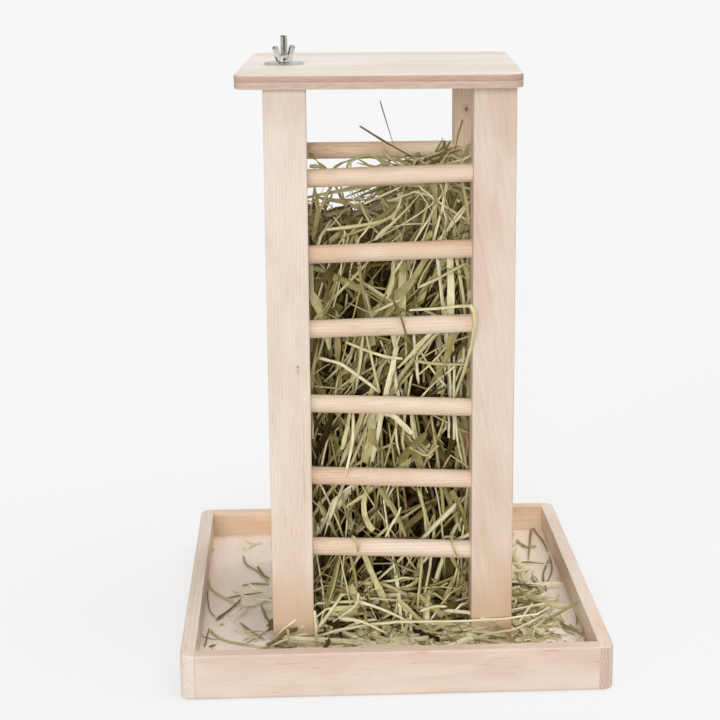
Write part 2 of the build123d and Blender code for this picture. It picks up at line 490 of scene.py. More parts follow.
@dataclass(frozen=True)
class FacedPlywood(Wood):
    """Sanded plywood: rotary-cut faces and edges that show the plies.

    A rotary-cut face meets the rings at a slant, so its figure is broad, wavy and faint. On the edges
    the plies show as brown and paler bands, with thin streaks along them, and a painted highlight runs along
    the top arris.
    """

    pale: str = "#F1E9E1"
    warm: str = "#E9DCCF"
    line: str = "#DDCBBB"
    # the plies as the edge shows them, from the bottom up; the paler stops at the top are a painted
    # highlight along the arris
    ply_bands_and_highlight: Stops = (
        (0.0, "#E2CDB9"), (0.1, "#CCB5A2"), (0.34, "#C7AF9D"), (0.4, "#D2B7A7"), (0.49, "#CEB2A1"),
        (0.54, "#B79383"), (0.62, "#BF9F8F"), (0.88, "#C5A897"), (0.93, "#CFB19C"), (1.0, "#D6BAA4"),
    )
    bottom: float = 481.3
    thickness: float = 11.0
    figure: float = 34.0  # mm between the broad lines of the face, across the grain
    line_depth: float = 0.25
    waver: float = 0.7  # mm that the plies rise and fall
    specks: tuple[Knot, ...] = ()
    patches: Figure = Figure(14.0, 0.2, 3.0)
    fibres: Figure = Figure(1100.0, 0.04, 3.0)

    def material(self) -> Material:
        """Build the material.

        Returns:
            A procedural material on Object coordinates.
        """
        material = bpy.data.materials.new(self.name)
        tree = emptied(material)
        coordinates = add(tree, "TexCoord").outputs
        place = coordinates["Object"]
        sheet = add(tree, "Mapping", {"Vector": place, "Rotation": self.along.value[0]})
        # broad lines, where the cut meets the rings
        broad = Figure(1000.0 / (4.0 * self.figure), 0.2, 2.0, 0.4).noise(tree, sheet)
        waves = add(tree, "Math MULTIPLY", (broad, 13.0))
        growth = add(tree, "Math PINGPONG", (waves, 0.5))
        late = add(tree, "MapRange", (growth, 0.12, 0.48), interpolation_type=SOFT)
        lines = add(tree, "Math MULTIPLY", (late, self.line_depth))
        patch = self.patches.noise(tree, sheet)
        warmth = add(tree, "MapRange", (patch, 0.4, 0.64), interpolation_type=SOFT)
        hair = self.fibres.noise(tree, sheet)
        face = self._lay_grain(tree, warmth, lines, hair, 0.95)
        for speck in self.specks:
            near = speck.near(tree, place, 1.0, 0.7, 0.4, "LINEAR")
            face = add(tree, "Mix", (near, face, speck.shade))
        # plies, and the painted highlight along the top arris, by height through the sheet
        height = add(tree, "SeparateXYZ", (place,)).outputs["Z"]
        wavy = add(tree, "TexNoise", (place, 60.0, 2.0))
        raised = add(tree, "Math MULTIPLY_ADD", (wavy, self.waver * MM, height))
        low = self.bottom + self.waver / 2
        level = add(tree, "MapRange", (raised, *mm(low, self.bottom + self.thickness + self.waver / 2)))
        bands = add(tree, "ValToRGB", (level,), stops=self.ply_bands_and_highlight)
        drawn = add(tree, "Mapping", {"Vector": place, "Scale": (0.1, 0.1, 1.0)})
        streak = add(tree, "TexNoise", (drawn, 900.0, 4.0))
        light = add(tree, "MapRange", (streak, NOISE_LOW, NOISE_HIGH, 0.88, 1.1))
        edge = add(tree, "VectorMath SCALE", (bands, light))
        normal = add(tree, "SeparateXYZ", (coordinates["Normal"],)).outputs["Z"]
        upright = add(tree, "Math ABSOLUTE", (normal,))
        flat = add(tree, "MapRange", (upright, 0.75, 0.97), interpolation_type=SOFT)
        final = add(tree, "Mix", (flat, edge, face))
        self._sand(tree, final, hair, hair, (0.3, 0.0001), (0.48, 0.62))
        return material


# ---------------------------------------------------------------- metal and hay finishes
@dataclass(frozen=True)
class ZincSteel:
    """Bright zinc-plated steel: a metal with small soft scuffs and a faintly uneven coat."""

    name: str
    colour: str = "#F0EEEB"
    dull: str = "#C4C2BE"
    roughness: float = 0.2
    scuff: float = 0.9  # mm between scuffs

    def material(self) -> Material:
        """Build the material.

        Returns:
            A procedural metal on Object coordinates.
        """
        material = bpy.data.materials.new(self.name)
        tree = emptied(material)
        place = add(tree, "TexCoord").outputs["Object"]
        coat = add(tree, "TexNoise", (place, 1000.0 / self.scuff, 4.0))
        blotch = add(tree, "TexNoise", (place, 220.0, 2.0))
        dulled = add(tree, "MapRange", (blotch, 0.42, 0.68, 0.0, 0.5))
        colour = add(tree, "Mix", (dulled, self.colour, self.dull))
        spread = (self.roughness - 0.05, self.roughness + 0.07)
        gloss = add(tree, "MapRange", (coat, NOISE_LOW, NOISE_HIGH, *spread))
        bump = add(tree, "Bump", {"Height": coat, "Strength": 0.06, "Distance": 0.00004})
        look = {"Base Color": colour, "Metallic": 1.0, "Roughness": gloss, "Normal": bump}
        add(tree, "OutputMaterial", (add(tree, "BsdfPrincipled", look),))
        return material


@dataclass(frozen=True)
class DriedGrass:
    """Dried timothy grass: matt straw and sage stems with fine ribs along them.

    Each strand carries its own tone, from reddish dry leaf through olive to bleached straw; the nearly black
    tones at the low end are painted shade for strands deep in the load.
    """

    name: str = "dried_timothy_grass"
    # the nearly black stop at 0.07 is painted shade, for strands deep in the load
    stops: Stops = (
        (0.0, "#A9805A"), (0.05, "#A5835C"), (0.07, "#2C2009"), (0.2, "#5E5027"), (0.4, "#8E814B"),
        (0.6, "#B5A974"), (0.8, "#D7CD9B"), (1.0, "#F3EBC4"),
    )

    def material(self) -> Material:
        """Build the material.

        Returns:
            A material on the strands' own tone attribute and UV map.
        """
        material = bpy.data.materials.new(self.name)
        tree = emptied(material)
        tone = add(tree, "Attribute", attribute_name="tone").outputs["Fac"]
        ramp = add(tree, "ValToRGB", (tone,), stops=self.stops)
        strip = add(tree, "UVMap", uv_map="strand")
        # ribs 0.4 mm apart, drawn along each strand
        ribs = add(tree, "Mapping", {"Vector": strip, "Scale": (2500.0, 90.0, 1.0)})
        rib = add(tree, "TexNoise", (ribs, 1.0, 2.0))
        shade = add(tree, "MapRange", (rib, NOISE_LOW, NOISE_HIGH, 0.68, 1.16))
        colour = add(tree, "VectorMath SCALE", (ramp, shade))
        bump = add(tree, "Bump", {"Height": rib, "Strength": 0.3, "Distance": 0.0001})
        look = {"Base Color": colour, "Roughness": 0.55, "Specular IOR Level": 0.4, "Normal": bump}
        add(tree, "OutputMaterial", (add(tree, "BsdfPrincipled", look),))
        return material


# ---------------------------------------------------------------- studio
@dataclass
class Studio:
    """The camera, the lamps, the pale floor and the surroundings that the metal reflects."""

    lens: float = 86.45  # mm, on a 36 mm sensor
    rise: float = -0.09  # the lens shift
    place: Triple = (-74.13, -1464.51, 616.09)
    yaw: float = 2.046  # degrees right of +Y
    pitch: float = 12.486  # degrees down
    roll: float = -0.499
    # each lamp's name, power, width in degrees and the way that it shines
    lamps: tuple[tuple[str, float, float, Triple], ...] = (
        ("overhead", 1.32, 60.0, (-0.28, 0.1, -0.95)),
        ("front_fill", 1.22, 17.0, (0.08, 0.975, -0.2)),
        ("left_fill", 0.74, 24.0, (0.6, 0.78, -0.17)),
        ("back_fill", 0.5, 40.0, (-0.2, -0.94, -0.27)),
    )
    floor_width: float = 80.0  # metres
    floor_drop: float = 0.6
    floor_colour: str = "#F1F2F2"
    floor_bounce: str = "#C0C0C0"
    background: str = "#F7F7F7"
    floor_lift: float = 0.66  # how far the floor shows by its own light to the eye
    floor_gloss: float = 0.6  # and in metal
    # what lights the feeder, from straight down to straight up
    room: Stops = ((0.0, "#808080"), (0.5, "#808080"), (0.75, "#ADADAD"), (1.0, "#CCCCCC"))
    # what metal mirrors, round from behind the camera: grey walls, dark gaps behind the camera and
    # after it, and between them a bright screen at the left
    wall: Stops = (
        (0.0, "#E4E4E4"), (0.16, "#C8C7C6"), (0.185, "#1A1918"), (0.24, "#1A1918"), (0.265, "#FFFFFF"),
        (0.42, "#FFFFFF"), (0.45, "#1A1918"), (0.56, "#2A2826"), (0.61, "#A9A8A7"), (0.85, "#D4D3D2"),
        (1.0, "#E4E4E4"),
    )
    upper_wall: Stops = (
        (0.0, "#D8D7D6"), (0.175, "#D8D7D6"), (0.19, "#1A1918"), (0.235, "#1A1918"), (0.25, "#D8D7D6"),
        (1.0, "#D8D7D6"),
    )
    ceiling: str = "#2A2826"
    # what stands where the paper ends in front, from left to right
    screens: Stops = (
        (0.0, "#FFFFFF"), (0.34, "#FFFFFF"), (0.37, "#100F0E"), (0.62, "#100F0E"), (0.65, "#8E8C8A"),
        (0.8, "#B8B6B4"), (1.0, "#E0E0E0"),
    )

    def build(self) -> None:
        """Put up the camera, the light and the floor."""
        self._camera()
        self._light()
        self._world()
        self._floor()
        bpy.context.scene.view_settings.view_transform = "Standard"
        log.info("studio: camera, %d lamps, surroundings and floor", len(self.lamps))

    def _camera(self) -> None:
        """Aim the camera."""
        yaw, pitch, roll = (math.radians(a) for a in (self.yaw, self.pitch, self.roll))
        ahead = Vector((math.sin(yaw) * math.cos(pitch), math.cos(yaw) * math.cos(pitch), -math.sin(pitch)))
        level = Vector((math.cos(yaw), -math.sin(yaw), 0.0))
        above = level.cross(ahead)
        right = math.cos(roll) * level + math.sin(roll) * above
        up = -math.sin(roll) * level + math.cos(roll) * above
        data = bpy.data.cameras.new("camera")
        data.sensor_width, data.lens, data.shift_y = 36.0, self.lens, self.rise
        data.clip_start, data.clip_end = 0.05, 200.0
        camera = bpy.data.objects.new("camera", data)
        bpy.context.scene.collection.objects.link(camera)
        aim = Matrix((right, up, -ahead)).transposed().to_4x4()
        camera.matrix_world = Matrix.Translation(Vector(self.place) * MM) @ aim
        bpy.context.scene.camera = camera

    def _light(self) -> None:
        """Hang the soft overhead lamp and its three wide fills."""
        for name, power, width, toward in self.lamps:
            data = bpy.data.lights.new(name, "SUN")
            data.energy = power
            data.angle = math.radians(width)
            lamp = bpy.data.objects.new(name, data)
            bpy.context.scene.collection.objects.link(lamp)
            lamp.rotation_euler = Vector(toward).to_track_quat("-Z", "Y").to_euler()
            # gloss mirrors the room alone, which already holds the bright screens
            lamp.visible_glossy = False

    def _world(self) -> None:
        """Surround the object with an even pale room, with darker gaps that only gloss shows."""
        world = bpy.data.worlds.new("room")
        bpy.context.scene.world = world
        tree = emptied(world)
        path = add(tree, "LightPath").outputs
        x, y, z = add(tree, "SeparateXYZ", (add(tree, "TexCoord").outputs["Generated"],)).outputs
        height = add(tree, "MapRange", (z, -1.0, 1.0))
        room = add(tree, "ValToRGB", (height,), stops=self.room)
        toward = add(tree, "Math MULTIPLY", (y, -1.0))
        bearing = add(tree, "Math ARCTAN2", (x, toward))
        around = add(tree, "MapRange", (bearing, -math.pi, math.pi))
        lower = add(tree, "ValToRGB", (around,), stops=self.wall)
        upper = add(tree, "ValToRGB", (around,), stops=self.upper_wall)
        over_gaps = add(tree, "MapRange", (height, 0.56, 0.6))
        walls = add(tree, "Mix", (over_gaps, lower, upper))
        # the dark ceiling leaves out the right and the back
        high = add(tree, "MapRange", (height, 0.75, 0.78))
        slanted = add(tree, "Math MULTIPLY_ADD", (x, 2.2, y))
        forward = add(tree, "MapRange", (slanted, 0.42, 0.3))
        covered = add(tree, "Math MULTIPLY", (high, forward))
        gloss = add(tree, "Mix", (covered, walls, self.ceiling))
        shown = add(tree, "Mix", (path["Is Glossy Ray"], room, gloss))
        seen = add(tree, "Math MAXIMUM", (path["Is Camera Ray"], path["Is Transmission Ray"]))
        colour = add(tree, "Mix", (seen, shown, self.background))
        add(tree, "OutputWorld", (add(tree, "Background", (colour, 1.0)),))

    def _floor(self) -> None:
        """Lay a pale matt floor just under the feeder."""
        plane, below = bpy.ops.mesh.primitive_plane_add, mm(0.0, 0.0, -self.floor_drop)
        floor = primitive(plane, "studio_floor", size=self.floor_width, location=below)
        material = bpy.data.materials.new("matt_paper_floor")
        tree = emptied(material)
        path = add(tree, "LightPath").outputs
        eye, gloss = path["Is Camera Ray"], path["Is Glossy Ray"]
        # the paper ends some way in front, and metal mirrors the screens beyond its edge
        x, y, _ = add(tree, "SeparateXYZ", (add(tree, "TexCoord").outputs["Object"],)).outputs
        beyond = add(tree, "MapRange", (y, -0.8, -1.1))
        ratio = add(tree, "Math DIVIDE", (x, y))
        across = add(tree, "MapRange", (ratio, 1.0, -1.0))
        screens = add(tree, "ValToRGB", (across,), stops=self.screens)
        far = add(tree, "Math MULTIPLY", (beyond, gloss))
        straight = add(tree, "Math MAXIMUM", (eye, gloss))
        sheet = add(tree, "Mix", (straight, self.floor_bounce, self.floor_colour))
        shade = add(tree, "Mix", (far, self.background, screens))
        paper = add(tree, "BsdfDiffuse", (sheet,))
        # the eye sees the paper half by its own light, which keeps the feeder's shadow soft
        seen = add(tree, "Math MULTIPLY", (eye, self.floor_lift))
        mirrored = add(tree, "Math MULTIPLY", (gloss, self.floor_gloss))
        either = add(tree, "Math MAXIMUM", (mirrored, far))
        lift = add(tree, "Math MAXIMUM", (either, seen))
        both = add(tree, "MixShader", (lift, paper, add(tree, "Emission", (shade,))))
        add(tree, "OutputMaterial", (both,))
        floor.data.materials.append(material)


# ---------------------------------------------------------------- woodwork
@dataclass
class Woodwork:
    """The tray, the posts, the rungs, the top rail and the lid, dressed board by board."""

    left_knot: Triple = (-76.5, -98.0, 252.0)

    def dress(self) -> None:
        """Give every board its own cut of timber."""
        for node, finish in {**self._tray(), **self._posts(), "lid": self._lid()}.items():
            dress(node, finish.material())
        self._rungs()
        log.info("woodwork: tray, posts, rungs, top rail and lid dressed")

    def _tray(self) -> dict[str, Wood]:
        """The finishes of the tray's rails and floor."""
        rail = {"pale": "#EEDFD1", "warm": "#E8D2BF", "line": "#D8BBA3", "fleck": "#BC8A6A",
                "ring": 2.6, "line_depth": 0.4}
        return {
            "tray_front_rail": PlanedTimber(
                "whitewood_front_rail", Grain.X, "#E3D1C1", "#DCC3B0", "#CDAF98", "#B98668",
                pith=(-20.0, 60.0), ring=3.4, line_depth=0.3, fleck_depth=0.5,
            ),
            # the back rail's shades are warmer and darker than the other rails': partly its own wood, partly
            # painted shade and warm light bounced onto its inner face
            "tray_back_rail": PlanedTimber(
                "whitewood_back_rail", Grain.X, "#E8D1B9", "#DDBA98", "#CFA683", pith=(-60.0, 110.0),
                ring=3.0, line_depth=0.4,
            ),
            "tray_left_rail": PlanedTimber(
                "whitewood_left_rail", Grain.Y, **rail, end="#E6D7CB", end_depth=0.08, pith=(-150.0, -70.0),
            ),
            "tray_right_rail": PlanedTimber(
                "whitewood_right_rail", Grain.Y, **rail, end="#D0BCAC", pith=(235.0, -30.0),
            ),
            "tray_floor": FacedPlywood(
                "whitewood_floor_panel", Grain.Y, "#FCF1E5", "#F4E0CC", "#E4CBB5", bottom=0.0,
                thickness=13.0, figure=46.0, line_depth=0.2,
            ),
        }

    def _posts(self) -> dict[str, Wood]:
        """The finishes of the four posts and the top rail."""
        x, y, z = self.left_knot
        scar = Knot((x, y, z - 1.6), 1.7, (1.0, 0.1, 0.5), shade="#DDA983")
        bud = Knot((x - 0.2, y, z + 2.1), 1.1, (1.0, 0.1, 0.9), shade="#7A4C38")
        return {
            "post_front_left": PlanedTimber(
                "whitewood_post_front_left", Grain.Z, "#EADCCE", "#E2CFBD", "#D2B8A2",
                pith=(-400.0, -60.0), ring=2.7, line_depth=0.28, fleck_depth=0.25, fewest=0.5,
                wander=2.5, foot_stain_and_shade=0.56, knots=(scar, bud),
            ),
            "post_front_right": PlanedTimber(
                "whitewood_post_front_right", Grain.Z, "#E2D0BF", "#D9C1AD", "#CBAC95", "#BE8F74",
                pith=(-60.0, -10.0), ring=5.0, line_depth=0.2, fleck_depth=0.2, wander=34.0,
                slant=0.15, foot_stain_and_shade=0.5,
            ),
            "post_rear_left": PlanedTimber(
                "whitewood_post_rear_left", Grain.Z, "#EADACA", "#DFC8B2", pith=(-60.0, 190.0),
                ring=2.6, foot_stain_and_shade=0.5,
            ),
            # the rear right post's paler, warmer shades are painted light, which lifts it out of the shade
            # under the lid
            "post_rear_right": PlanedTimber(
                "whitewood_post_rear_right", Grain.Z, "#FDE5CB", "#F8D3AE", pith=(20.0, 120.0),
                foot_stain_and_shade=0.5, knots=(Knot((77.0, 70.0, 444.0), 2.2, (1.0, 0.1, 0.7)),),
            ),
            "top_rail": PlanedTimber("whitewood_top_rail", Grain.Y, pith=(-40.0, -380.0)),
        }

    def _lid(self) -> Wood:
        """The finish of the plywood lid, with its two pin knots."""
        dark = "#7C5038"
        speck = Knot((88.0, -115.5, 484.2), 0.9, (1.0, 0.6, 1.0), dark)
        pin = Knot((99.0, 104.0, 492.3), 1.3, (0.4, 1.0, 0.3), dark)
        return FacedPlywood("birch_plywood_lid", Grain.X, specks=(speck, pin))

    def _rungs(self) -> None:
        """Dress the rungs, which are turned from three sorts of dowel; the rear ones share one paler set of
        shades, which is painted light.
        """
        sorts = (("#EBD8C2", "#E3C7AC", "#CFAB8B"), ("#E8D2BB", "#DFBFA2", "#C9A283"),
                 ("#EEDCC9", "#E5CBB3", "#D3B194"))
        # the rear rungs all take one paler set of shades: painted light against the shade under the lid
        painted_light_rear = (("#FFEBD4", "#FADCBC", "#E8C29C"),) * 3
        for side, along in (("front", Grain.X), ("rear", Grain.X), ("left", Grain.Y), ("right", Grain.Y)):
            for kind, colours in enumerate(painted_light_rear if side == "rear" else sorts):
                material = PlanedTimber(
                    f"whitewood_dowel_{side}_{kind + 1}", along, *colours, pith=(30.0 + 17.0 * kind, -160.0),
                    ring=2.0 + 0.4 * kind, line_depth=0.45, wander=6.0,
                ).material()
                for level in range(6):
                    if (level * 2 + len(side)) % 3 == kind:
                        dress(f"{side}_rung_{level + 1}", material)


# ---------------------------------------------------------------- bolt, washer and wing nut
@dataclass
class LidFastening:
    """The coach bolt, its washer and its wing nut."""

    axis: tuple[float, float] = (-84.0, -5.0)
    seat: float = 441.0  # height of the head's top face
    tip: float = 516.0
    tip_taper: tuple[float, float] = (0.7, 0.5)  # how long it is, and how deep
    washer_top: float = 493.8
    washer_radii: tuple[float, float] = (3.3, 17.0)
    washer_arris: float = 0.4
    thread_radius: float = 3.0
    core_radius: float = 2.7
    pitch: float = 1.0
    # the heights, in turns, of a rolled thread's root, flank, flat crest, flank and next root
    thread_heights: tuple[float, ...] = (0.0, 0.14, 0.32, 0.84, 1.0)
    spare: float = 1.5  # thread that is cut off at the foot
    head_radius: float = 8.0
    head_height: float = 3.6
    head_rim: float = 0.9
    dome_steps: int = 7
    neck: tuple[float, float] = (5.9, 3.0)  # width and height
    hub_radii: tuple[float, float] = (5.3, 4.7)
    hub_height: float = 6.5
    hub_lip: float = 0.9
    hub_dish: tuple[float, float] = (0.7, 0.86)  # how deep it is, and how wide its floor
    wing_width: float = 5.4
    wing_thickness: float = 2.3
    wing_reach: float = 12.0
    wing_top: float = 508.0
    wing_round: float = 1.5  # how far its tip's corners come down
    wing_foot: float = 0.9  # the gap beneath it
    nut_turn: float = 38.0  # degrees

    def build(self) -> None:
        """Model the bolt, the wing nut and the washer, and finish all the metal."""
        bolt, nut, washer = self._bolt(), self._wing_nut(), self._washer()
        finishes = (
            ZincSteel("zinc_steel_bolt", "#D6D2CA", "#B4B0A8", 0.12),
            ZincSteel("zinc_steel_wing_nut", "#F4F2EE", roughness=0.12),
            ZincSteel("zinc_steel_washer", "#E6E6E4", roughness=0.27),
        )
        for piece, finish in zip((bolt, nut, washer), finishes):
            piece.data.materials.append(finish.material())
            log.info("%s: %d faces", piece.name, len(piece.data.polygons))
        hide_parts("lid_bolt")
        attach(bolt, "stand")
        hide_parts("wing_nut")
        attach(nut, "wing_nut")
        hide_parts("washer")
        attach(washer, "washer")
        dress("post_screws", ZincSteel("yellow_zinc_screws", "#CDBB8C", "#A89260", 0.34).material())
        dress("tray_brads", ZincSteel("plain_steel_brads", "#A9A7A2").material())

    def _thread(self) -> Object:
        """Turn the bolt's threaded shank.

        Returns:
            A closed threaded bar from the head's seat to the tip.
        """
        shank = primitive(
            bpy.ops.mesh.primitive_circle_add, "bolt_shank", vertices=len(self.thread_heights),
            radius=self.thread_radius * MM,
        )
        mesh = edit(shank, "EDGE")
        pick(mesh, shank, [e for e in mesh.edges if {v.index for v in e.verts} == {0, 4}])
        bpy.ops.mesh.delete(type="EDGE")
        leave_edit(outward=False)
        core, crest = self.core_radius, self.thread_radius
        radii = (core, core, crest, crest, core)
        for vertex, radius, height in zip(shank.data.vertices, radii, self.thread_heights):
            vertex.co = mm(radius, 0.0, height * self.pitch)
        length = self.tip - self.seat
        turn = {"steps": 24, "render_steps": 24, "screw_offset": self.pitch * MM}
        modify(shank, "SCREW", iterations=int(length / self.pitch) + 3, **turn, **LATHE)
        for height, inner in ((self.spare, True), (self.spare + length, False)):
            edit(shank, chosen="SELECT")
            bpy.ops.mesh.bisect(
                plane_co=mm(0.0, 0.0, height), plane_no=(0.0, 0.0, 1.0), use_fill=True,
                clear_inner=inner, clear_outer=not inner,
            )
            leave_edit()
        smooth(shank, 30.0)
        shank.location = mm(*self.axis, self.seat - self.spare)
        return settle(shank, "bolt_shank")

    def _bolt(self) -> Object:
        """Model the coach bolt.

        Returns:
            The threaded shank with its domed head and square neck.
        """
        x, y = self.axis
        shank = self._thread()
        self._chamfer_tip(shank)
        head = primitive(
            bpy.ops.mesh.primitive_cylinder_add, "bolt_head", vertices=48, radius=self.head_radius * MM,
            depth=self.head_rim * MM, location=mm(x, y, self.seat - self.head_rim / 2),
        )
        mesh = edit(head)
        pick(mesh, head, [f for f in mesh.faces if f.normal.z < -0.9])
        rise = self.head_height - self.head_rim
        before, low = 1.0, 0.0
        for step in range(1, self.dome_steps):
            angle = step * math.pi / 2 / self.dome_steps
            size, drop = math.cos(angle), math.sin(angle)
            down = {"value": (0.0, 0.0, -(drop - low) * rise * MM)}
            bpy.ops.mesh.extrude_region_move(TRANSFORM_OT_translate=down)
            shrink = size / before
            bpy.ops.transform.resize(value=(shrink, shrink, 1.0), center_override=mm(x, y, 0.0))
            before, low = size, drop
        leave_edit()
        smooth(head, 40.0)
        width, height = self.neck
        neck = primitive(
            bpy.ops.mesh.primitive_cube_add, "bolt_neck", size=1.0,
            location=mm(x, y, self.seat + height / 2), scale=mm(width, width, height),
        )
        modify(neck, "BEVEL", width=0.5 * MM, segments=2, limit_method="ANGLE")
        return join("lid_bolt_threaded", shank, head, neck)

    def _chamfer_tip(self, shank: Object) -> None:
        """Turn down the last of the thread, so that a nut starts easily.

        Args:
            shank: The threaded bar.
        """
        x, y = mm(*self.axis)
        taper, depth = self.tip_taper
        start = (self.tip - taper) * MM
        for vertex in shank.data.vertices:
            if vertex.co.z > start:
                out = Vector((vertex.co.x - x, vertex.co.y - y))
                limit = (self.thread_radius - depth * ((vertex.co.z - start) / (taper * MM))) * MM
                if out.length > limit:
                    out *= limit / out.length
                    vertex.co.x, vertex.co.y = x + out.x, y + out.y

    def _washer(self) -> Object:
        """Model the wide stamped washer.

        Returns:
            A flat ring with its upper and lower edges rounded by the die.
        """
        low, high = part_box("washer")
        inner, outer = self.washer_radii
        ring = primitive(bpy.ops.mesh.primitive_plane_add, "washer_stamped", size=1.0)
        corners = ((inner, low[2]), (outer, low[2]), (inner, high[2]), (outer, high[2]))
        for vertex, (radius, height) in zip(ring.data.vertices, corners):
            vertex.co = (radius * MM, 0.0, height)
        edit(ring, chosen="SELECT")
        bpy.ops.mesh.delete(type="ONLY_FACE")
        leave_edit(outward=False)
        modify(ring, "SCREW", steps=72, render_steps=72, **LATHE)
        edit(ring)
        leave_edit()
        modify(ring, "BEVEL", width=self.washer_arris * MM, segments=3, limit_method="ANGLE")
        smooth(ring, 40.0)
        ring.location = mm(*self.axis, 0.0)
        return settle(ring, "washer_stamped")

    def _wing_nut(self) -> Object:
        """Model the cast wing nut.

        Returns:
            The hub with its two wings.
        """
        foot, top = self.hub_radii
        hub = primitive(
            bpy.ops.mesh.primitive_cone_add, "nut_hub", vertices=48, radius1=foot * MM, radius2=top * MM,
            depth=self.hub_height * MM, location=mm(0.0, 0.0, self.hub_height / 2),
        )
        mesh = edit(hub)
        pick(mesh, hub, [f for f in mesh.faces if f.normal.z > 0.9])
        bpy.ops.mesh.inset(thickness=self.hub_lip * MM)
        deep, wide = self.hub_dish
        bpy.ops.mesh.extrude_region_move(TRANSFORM_OT_translate={"value": mm(0.0, 0.0, -deep)})
        bpy.ops.transform.resize(value=(wide, wide, 1.0), center_override=(0.0, 0.0, 0.0))
        leave_edit()
        modify(hub, "BEVEL", width=0.45 * MM, segments=3, limit_method="ANGLE")
        smooth(hub, 40.0)
        nut = join("wing_nut_cast", hub, *(self._wing(turn) for turn in (0.0, math.pi)))
        nut.rotation_euler = (0.0, 0.0, math.radians(self.nut_turn))
        nut.location = mm(*self.axis, self.washer_top)
        return settle(nut, "wing_nut_cast")

    def _wing(self, turn: float) -> Object:
        """Model one wing, a rounded plate that leans out from the hub.

        Args:
            turn: The way that it faces round the bolt, in radians.

        Returns:
            The wing, about the origin.
        """
        top = self.wing_top - self.washer_top
        inner = self.hub_radii[1] - 1.2
        wing = primitive(
            bpy.ops.mesh.primitive_cube_add, f"nut_wing_{int(turn)}", size=1.0,
            location=mm(inner + self.wing_width / 2, 0.0, top / 2),
            scale=mm(self.wing_width, self.wing_thickness, top),
        )
        edit(wing, chosen="SELECT")
        bpy.ops.mesh.subdivide(number_cuts=3)
        leave_edit(outward=False)
        lean = self.wing_reach - self.wing_width - inner
        for vertex in wing.data.vertices:
            share = vertex.co.z / (top * MM)
            side = (vertex.co.x / MM - inner) / self.wing_width
            # leaning out, narrow at the foot, rounded over at the top
            vertex.co.x += (lean * share**1.1 - 1.6 * (1.0 - share) * side) * MM
            vertex.co.z += (0.5 - side) * self.wing_round * share * MM
            if share > 0.95:
                vertex.co.z -= self.wing_round * abs(2.0 * side - 1.0) ** 2 * MM
            vertex.co.z = max(vertex.co.z, self.wing_foot * MM)
            vertex.co.y *= 1.25 - 0.3 * share
        modify(wing, "BEVEL", width=0.4 * MM, segments=3, limit_method="ANGLE")
        smooth(wing, 35.0)
        wing.rotation_euler = (0.0, 0.0, turn)
        return settle(wing, wing.name)


# ---------------------------------------------------------------- hay
class Strand(Enum):
    """What a strand of hay is: its corners, whether light rounds them off, and its thickness."""

    STEM = (5, True, 0.8)
    BLADE = (4, False, 0.13)

    @property
    def flat(self) -> float:
        """How thick it is, for a width of one."""
        return self.value[2]


@dataclass
class Template:
    """One straight strand modelled once: its corners by ring, and its faces."""

    level: np.ndarray  # each corner's ring
    corner: np.ndarray  # each corner's place across the strand, on a width of one
    faces: list[tuple[int, ...]]
    round: bool


def model_template(kind: Strand, rings: int) -> Template:
    """Model one straight strand by extruding its end.

    Args:
        kind: Stem or blade.
        rings: How many rings of corners it has, ends included.

    Returns:
        Its corners and faces.
    """
    sides, soft, _ = kind.value
    circle = bpy.ops.mesh.primitive_circle_add
    strand = primitive(circle, "strand", vertices=sides, radius=0.5, fill_type="NGON")
    edit(strand, chosen="SELECT")
    for _ in range(rings - 1):
        bpy.ops.mesh.extrude_region_move(TRANSFORM_OT_translate={"value": (0.0, 0.0, 1.0 / (rings - 1))})
    leave_edit()
    mesh = strand.data
    points = np.array([v.co[:] for v in mesh.vertices])
    # each face from its first corner, and the faces in order, because extruding leaves no set order
    faces = sorted(tuple(np.roll(p.vertices, -int(np.argmin(p.vertices)))) for p in mesh.polygons)
    bpy.data.objects.remove(strand)
    bpy.data.meshes.remove(mesh)
    corner = points[:, :2].copy()
    if kind is Strand.BLADE:
        # a blade is flat, with a fold along its middle
        rim = np.abs(corner[:, 0]) > 0.25
        corner[rim, 1] = 0.9
        corner[~rim & (corner[:, 1] > 0), 1] = 0.0
        corner[~rim & (corner[:, 1] < 0), 1] = -0.6
    return Template(np.rint(points[:, 2] * (rings - 1)).astype(int), corner, faces, soft)


@dataclass
class Batch:
    """Many strands: their paths in millimetres, widths, tones and thickness for their width."""

    paths: np.ndarray
    width: np.ndarray
    tone: np.ndarray
    flat: float


def unit(vectors: np.ndarray) -> np.ndarray:
    """The vectors, each at a length of one."""
    return vectors / np.maximum(np.linalg.norm(vectors, axis=-1, keepdims=True), 1e-9)


def eased(share: np.ndarray) -> np.ndarray:
    """A share from nought to one, with a soft start and end."""
    inside = np.clip(share, 0.0, 1.0)
    return inside * inside * (3.0 - 2.0 * inside)


def columns(*parts: np.ndarray) -> np.ndarray:
    """Points or vectors from their x, y and z."""
    return np.stack(parts, axis=-1)


